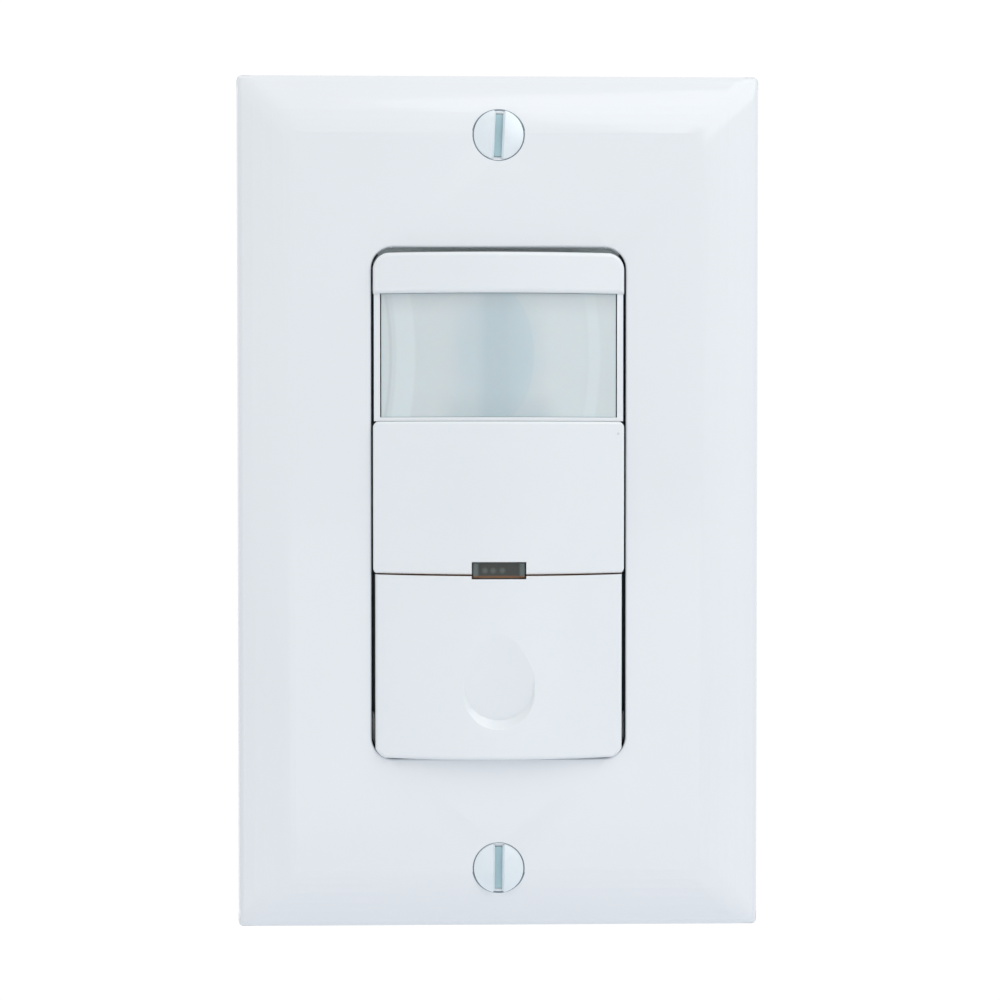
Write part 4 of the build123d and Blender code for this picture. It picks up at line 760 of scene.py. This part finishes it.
def lens_material():
    """Milky sheet with painted shade and light: bluish where the sensor shows, shaded at top and foot, with
    faint upright streaks.
    """
    tint = colours()
    low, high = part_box("sensor_lens")
    material, tree, shader = new_material("lens_milk")
    coordinates = object_coordinates(tree)
    x, _, z = place_axes(tree)
    middle = (low + high) / 2
    # Painted shade where the sensor shows through: a bluish oval with a darker core.
    across = math_node(tree, "DIVIDE", math_node(tree, "SUBTRACT", x, OVAL_X), OVAL_HALF_WIDTH)
    upward = math_node(tree, "DIVIDE", math_node(tree, "SUBTRACT", z, middle.z), OVAL_HALF_HEIGHT)
    squares = math_node(tree, "ADD", multiply(tree, across, across), multiply(tree, upward, upward))
    radius = math_node(tree, "SQRT", squares)
    cloud = fill(tree.nodes.new("ShaderNodeTexNoise"), Scale=LENS_CLOUD_SCALE, Detail=2.0)
    tree.links.new(coordinates, cloud.inputs["Vector"])
    colour = mix_colour(tree, cloud.outputs["Fac"], rgba(tint.lens), rgba(tint.lens, LENS_CLOUD_GAIN))
    soft_oval = multiply(tree, ramp(tree, radius, *SOFT_OVAL_SPAN), SOFT_OVAL_STRENGTH)
    right_side = ramp(tree, x, *CRISP_OVAL_SIDE)
    crisp_oval = multiply(tree, ramp(tree, radius, *CRISP_OVAL_SPAN), right_side, CRISP_OVAL_STRENGTH)
    oval = math_node(tree, "ADD", soft_oval, crisp_oval, clamp=True)
    colour = mix_colour(tree, oval, colour, rgba(tint.lens_core_painted_shade, OVAL_GAIN))
    core = multiply(tree, band(tree, x, CORE_X, CORE_HALF_WIDTH, CORE_SOFTNESS), CORE_STRENGTH)
    colour = mix_colour(tree, core, colour, rgba(tint.lens_core_painted_shade, CORE_GAIN))
    # Painted light and shade in faint upright streaks.
    bowed = math_node(tree, "ADD", x, multiply(tree, upward, upward, STREAK_BOW))
    for centre, half_width, softness, strength, gain in PAINTED_LENS_STREAKS:
        mask = multiply(tree, band(tree, bowed, centre, half_width, softness), strength)
        colour = mix_colour(tree, mask, colour, rgba(tint.lens, gain))
    cap_shade = multiply(tree, ramp_from(tree, z, high.z, CAP_SHADE_SPAN), CAP_SHADE_STRENGTH)
    colour = mix_colour(tree, cap_shade, colour, rgba(tint.lens, CAP_SHADE_GAIN))
    foot_middle = band(tree, x, 0.0, FOOT_SHADE_HALF_WIDTH, FOOT_SHADE_SOFTNESS)
    foot_shade = multiply(
        tree, ramp_from(tree, z, low.z, FOOT_SHADE_SPAN), foot_middle, FOOT_SHADE_STRENGTH
    )
    colour = mix_colour(tree, foot_shade, colour, rgba(tint.lens_core_painted_shade, FOOT_SHADE_GAIN))
    tree.links.new(colour, shader.inputs["Base Color"])
    ribs = fill(tree.nodes.new("ShaderNodeTexWave"), Scale=LENS_RIB_SCALE, Distortion=0.3)
    ribs.bands_direction = "X"
    tree.links.new(coordinates, ribs.inputs["Vector"])
    bump = fill(
        tree.nodes.new("ShaderNodeBump"), Strength=LENS_RIB_STRENGTH, Distance=LENS_RIB_DEPTH
    )
    tree.links.new(ribs.outputs["Fac"], bump.inputs["Height"])
    tree.links.new(bump.outputs["Normal"], shader.inputs["Normal"])
    fill(shader, Roughness=0.38, IOR=1.5, Subsurface_Weight=0.25, Subsurface_Scale=LENS_SCATTER)
    return material


def window_material():
    """Smoked plastic with painted light: lighter ends, a warm lower edge, and three lights faintly behind
    it.
    """
    tint = colours()
    low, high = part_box("indicator_window")
    material, tree, shader = new_material("smoked_plastic")
    coordinates = object_coordinates(tree)
    x, _, z = place_axes(tree)
    # Painted light on the window's lighter ends.
    between_ends = band(tree, x, 0.0, WINDOW_CLEAR_HALF_WIDTH, WINDOW_END_SOFTNESS)
    colour = mix_colour(tree, between_ends, rgba(tint.window_ends_painted_light), rgba(tint.smoke))
    # Painted glow of three lights seen through the window.
    for offset in WINDOW_SPOTS:
        spot = Vector((offset, low.y + SPOT_DEPTH, (low.z + high.z) / 2 - SPOT_DROP))
        away = tree.nodes.new("ShaderNodeVectorMath")
        away.operation = "DISTANCE"
        tree.links.new(coordinates, away.inputs[0])
        away.inputs[1].default_value = spot
        glow = multiply(tree, ramp(tree, away.outputs["Value"], *SPOT_SPAN), SPOT_STRENGTH)
        colour = mix_colour(tree, glow, colour, rgba(tint.window_spot_painted_glow))
    # Painted warm light along the window's lower edge.
    warm = ramp_from(tree, z, low.z, WINDOW_FOOT_SPAN)
    colour = mix_colour(tree, warm, colour, rgba(tint.window_foot_painted_light))
    tree.links.new(colour, shader.inputs["Base Color"])
    haze = fill(tree.nodes.new("ShaderNodeTexNoise"), Scale=HAZE_SCALE, Detail=3.0)
    tree.links.new(coordinates, haze.inputs["Vector"])
    rough = math_node(tree, "MULTIPLY_ADD", haze.outputs["Fac"], HAZE_SPREAD, HAZE_LEAST)
    tree.links.new(rough, shader.inputs["Roughness"])
    fill(shader, IOR=1.49, Coat_Weight=0.3)
    return material


class SWITCH_OT_plate(bpy.types.Operator):
    """Finishes the glossy wall plate"""

    bl_idname = "switch.plate"
    bl_label = "Wall plate"

    def execute(self, context):
        tint = colours()
        material = plastic(
            "plate_white", tint.plate, scaled(tint.plate, SHADE_GAIN),
            roughness=0.16, speck=0.8, peel=0.06, coat=0.25,
        )
        plate_shade(material)
        stand_for(rounded_plate(), "wall_plate", material)
        return {"FINISHED"}


class SWITCH_OT_face(bpy.types.Operator):
    """Finishes bezel, middle cover and push button"""

    bl_idname = "switch.face"
    bl_label = "Device face"

    def execute(self, context):
        base = colours().face
        for node in ("front_bezel", "control_cover", "push_button"):
            material = plastic(
                SLOT_OF[node] + "_" + node, base, scaled(base, SHADE_GAIN),
                roughness=0.24, speck=0.25, peel=0.07, coat=0.15,
            )
            fill(
                shader_of(material), Subsurface_Weight=FACE_TRANSLUCENCY,
                Subsurface_Scale=FACE_SCATTER, Subsurface_Radius=FACE_SCATTER_TINT,
            )
            if node == "front_bezel":
                dial_scales(material)
            else:
                seam_shade(material)
            dress(node, material)
        return {"FINISHED"}


class SWITCH_OT_lens(bpy.types.Operator):
    """Finishes the sensor lens, its shroud and the indicator window"""

    bl_idname = "switch.lens"
    bl_label = "Lens and window"

    def execute(self, context):
        dress("sensor_lens", lens_material())
        dress("indicator_window", window_material())
        grey = colours().shroud
        dress("sensor_shroud", plastic("shroud_grey", grey, scaled(grey, 0.9), roughness=0.5))
        return {"FINISHED"}


class SWITCH_OT_metalwork(bpy.types.Operator):
    """Finishes screws, strap, springs and terminals"""

    bl_idname = "switch.metalwork"
    bl_label = "Metalwork"

    def execute(self, context):
        tint = colours()
        dress("housing_screws", metal("zinc_screw", tint.zinc, scaled(tint.zinc, 0.8), roughness=0.24))
        bright = metal("bright_screw", tint.zinc, scaled(tint.zinc, 0.95), roughness=0.5, metallic=0.55)
        tree = bright.node_tree
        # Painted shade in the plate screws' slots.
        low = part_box("plate_screws")[0]
        slot = ramp_from(tree, place_axes(tree)[1], low.y, SLOT_DEPTHS)
        tint_where(bright, slot, tint.slot)
        dress("plate_screws", bright)
        strap = metal(
            "strap_steel", tint.steel, scaled(tint.steel, 0.85), roughness=0.42,
            stretch=(250.0, 1500.0, 1500.0), metallic=0.2,
        )
        tree = strap.node_tree
        x, _, z = place_axes(tree)
        # Painted shade on the strap behind the gap round the face.
        beside_x = band(tree, x, 0.0, STRAP_HALF_WIDTH, STRAP_SOFTNESS_X)
        beside_z = band(tree, z, STRAP_MIDDLE, STRAP_HALF_HEIGHT, STRAP_SOFTNESS_Z)
        tint_where(strap, multiply(tree, beside_x, beside_z), tint.behind)
        dress("mounting_strap", strap)
        dress("earth_screw", metal("earth_green", tint.earth, scaled(tint.earth, 0.5), roughness=0.3))
        steel = metal("spring_steel", tint.spring, scaled(tint.spring, 0.8))
        stand_for(bending_springs(), "button_springs", steel)
        dress("terminal_plates", metal("brass", tint.brass, scaled(tint.brass, 0.75), roughness=0.3))
        dress("terminal_screws", metal("brass_screw", scaled(tint.brass, 1.08), tint.brass, roughness=0.24))
        dress("pyro_sensor", metal("sensor_can", tint.can, scaled(tint.can, 0.85), roughness=0.3))
        return {"FINISHED"}


class SWITCH_OT_housing(bpy.types.Operator):
    """Finishes the rear housing"""

    bl_idname = "switch.housing"
    bl_label = "Rear housing"

    def execute(self, context):
        tint = colours()
        dress("rear_housing", plastic(
            "housing_plastic", tint.housing, scaled(tint.housing, 1.3),
            roughness=0.45, peel=0.6, peel_scale=2600.0,
        ))
        return {"FINISHED"}


class SWITCH_OT_electronics(bpy.types.Operator):
    """Finishes the boards and what stands on them"""

    bl_idname = "switch.electronics"
    bl_label = "Electronics"

    def execute(self, context):
        tint = colours()
        board = plastic(
            "board_green", tint.board, scaled(tint.board, 0.6), roughness=0.3, peel=0.3, drift=200.0,
        )
        for node in ("sensor_board", "power_board"):
            dress(node, board)
        component = plastic(
            "component_black", tint.component, scaled(tint.component, 1.5),
            roughness=0.4, peel=0.3, peel_scale=3000.0,
        )
        for node in ("tact_switch", "control_chip", "board_header", "rectifier"):
            dress(node, component)
        dial = plastic("dial_white", tint.dial, tint.dial_shade, roughness=0.4)
        for node in DIALS:
            dress(node, dial)
        for node, base, roughness in SMALL_PARTS:
            dress(node, plastic(SLOT_OF[node], base, scaled(base, 0.8), roughness=roughness))
        return {"FINISHED"}


def deselect_all():
    """Leaves edit mode and selects nothing."""
    if bpy.context.object and bpy.context.object.mode != "OBJECT":
        bpy.ops.object.mode_set(mode="OBJECT")
    bpy.ops.object.select_all(action="DESELECT")


def aim(thing, place, target):
    """Points an object's -Z at a target."""
    turn = (target - place).to_track_quat("-Z", "Y").to_matrix().to_4x4()
    thing.matrix_world = Matrix.Translation(place) @ turn


def area_light(name, place, size, power):
    """Large soft white light aimed at the origin."""
    light = bpy.data.lights.new(name, "AREA")
    light.shape = "RECTANGLE"
    light.size, light.size_y = size
    light.energy = power
    holder = bpy.data.objects.new(name, light)
    bpy.context.scene.collection.objects.link(holder)
    aim(holder, Vector(place), Vector((0, 0, 0)))


def studio_world():
    """Surround: plain white to the camera, otherwise brightest at the left and dimmer in front."""
    settings = studio()
    world = bpy.data.worlds.new("studio")
    bpy.context.scene.world = world
    world.use_nodes = True
    tree = world.node_tree
    tree.nodes.clear()
    output = tree.nodes.new("ShaderNodeOutputWorld")
    coordinates = tree.nodes.new("ShaderNodeTexCoord")
    parts = tree.nodes.new("ShaderNodeSeparateXYZ")
    tree.links.new(coordinates.outputs["Generated"], parts.inputs["Vector"])
    across, along, up = parts.outputs["X"], parts.outputs["Y"], parts.outputs["Z"]
    front = ramp(tree, math_node(tree, "MULTIPLY", along, -1.0), *FRONT_SPAN)
    sky = mix_colour(tree, ramp(tree, across, *RIGHT_SPAN), SKY_LEFT, SKY_RIGHT)
    far_aside = ramp(tree, math_node(tree, "ABSOLUTE", across), *FAR_ASIDE_SPAN)
    sky = mix_colour(tree, far_aside, sky, SKY_FAR_ASIDE)
    sky = mix_colour(tree, ramp(tree, up, *ABOVE_SPAN), sky, SKY_ABOVE)
    sky = mix_colour(tree, front, sky, SKY_FRONT)
    behind_camera = distance_from_axis(tree, across, up, BEHIND_CAMERA_X, 0.0)[0]
    dark = multiply(tree, ramp(tree, behind_camera, *BEHIND_CAMERA_SPAN), front)
    sky = mix_colour(tree, dark, sky, SKY_BEHIND_CAMERA)
    soft = tree.nodes.new("ShaderNodeBackground")
    tree.links.new(sky, soft.inputs["Color"])
    fill(soft, Strength=settings.surround)
    plain = tree.nodes.new("ShaderNodeBackground")
    fill(plain, Color=BACKDROP_COLOUR, Strength=BACKDROP_STRENGTH)
    path = tree.nodes.new("ShaderNodeLightPath")
    choose = tree.nodes.new("ShaderNodeMixShader")
    tree.links.new(path.outputs["Is Camera Ray"], choose.inputs[0])
    tree.links.new(soft.outputs[0], choose.inputs[1])
    tree.links.new(plain.outputs[0], choose.inputs[2])
    tree.links.new(choose.outputs[0], output.inputs["Surface"])


class SWITCH_OT_stage(bpy.types.Operator):
    """Adds the floor, the lights and the camera"""

    bl_idname = "switch.stage"
    bl_label = "Studio"

    def execute(self, context):
        settings = studio()
        deselect_all()
        bpy.ops.mesh.primitive_circle_add(
            vertices=96, radius=settings.floor_radius, fill_type="NGON",
            location=(0, 0, -settings.floor_drop),
        )
        floor = context.object
        floor.name = "studio_floor"
        material, _, shader = new_material("studio_floor")
        fill(shader, Roughness=0.8, Base_Color=rgba(colours().floor))
        floor.data.materials.append(material)
        studio_world()
        area_light("key_light", KEY_PLACE, KEY_SIZE, settings.key)
        area_light("fill_light", FILL_PLACE, FILL_SIZE, settings.fill)
        camera_data = bpy.data.cameras.new("camera")
        camera_data.lens = settings.focal
        camera_data.sensor_width = SENSOR_WIDTH
        camera_data.clip_start = CLIP_START
        camera = bpy.data.objects.new("camera", camera_data)
        context.scene.collection.objects.link(camera)
        place = Vector((
            -math.sin(settings.left) * settings.distance,
            -math.cos(settings.left) * math.cos(settings.above) * settings.distance,
            math.sin(settings.above) * settings.distance,
        ))
        aim(camera, place, Vector(CAMERA_TARGET))
        context.scene.camera = camera
        context.scene.view_settings.view_transform = "Standard"
        return {"FINISHED"}


class SWITCH_PT_builder(bpy.types.Panel):
    """Lists the steps that dress the switch"""

    bl_idname = "SWITCH_PT_builder"
    bl_label = "Motion Sensor Switch"
    bl_space_type = "VIEW_3D"
    bl_region_type = "UI"
    bl_category = "Switch"

    def draw(self, context):
        for operator in STEPS:
            self.layout.operator(operator.bl_idname)


STEPS = (
    SWITCH_OT_plate, SWITCH_OT_face, SWITCH_OT_lens, SWITCH_OT_metalwork, SWITCH_OT_housing,
    SWITCH_OT_electronics, SWITCH_OT_stage,
)
CLASSES = (SwitchColours, StudioSettings, SwitchSizes) + STEPS + (SWITCH_PT_builder,)


def register():
    """Registers the classes and the scene's settings."""
    for entry in CLASSES:
        bpy.utils.register_class(entry)
    bpy.types.Scene.switch_colours = PointerProperty(type=SwitchColours)
    bpy.types.Scene.switch_studio = PointerProperty(type=StudioSettings)
    bpy.types.Scene.switch_sizes = PointerProperty(type=SwitchSizes)


def unregister():
    """Takes the settings and the classes away again."""
    del bpy.types.Scene.switch_sizes
    del bpy.types.Scene.switch_studio
    del bpy.types.Scene.switch_colours
    for entry in reversed(CLASSES):
        bpy.utils.unregister_class(entry)


def run_step(operator):
    """Runs one of the operators above."""
    group, name = operator.bl_idname.split(".")
    getattr(getattr(bpy.ops, group), name)()


def main():
    """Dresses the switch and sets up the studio."""
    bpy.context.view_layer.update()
    register()
    for operator in STEPS:
        run_step(operator)


if __name__ == "__main__":
    main()
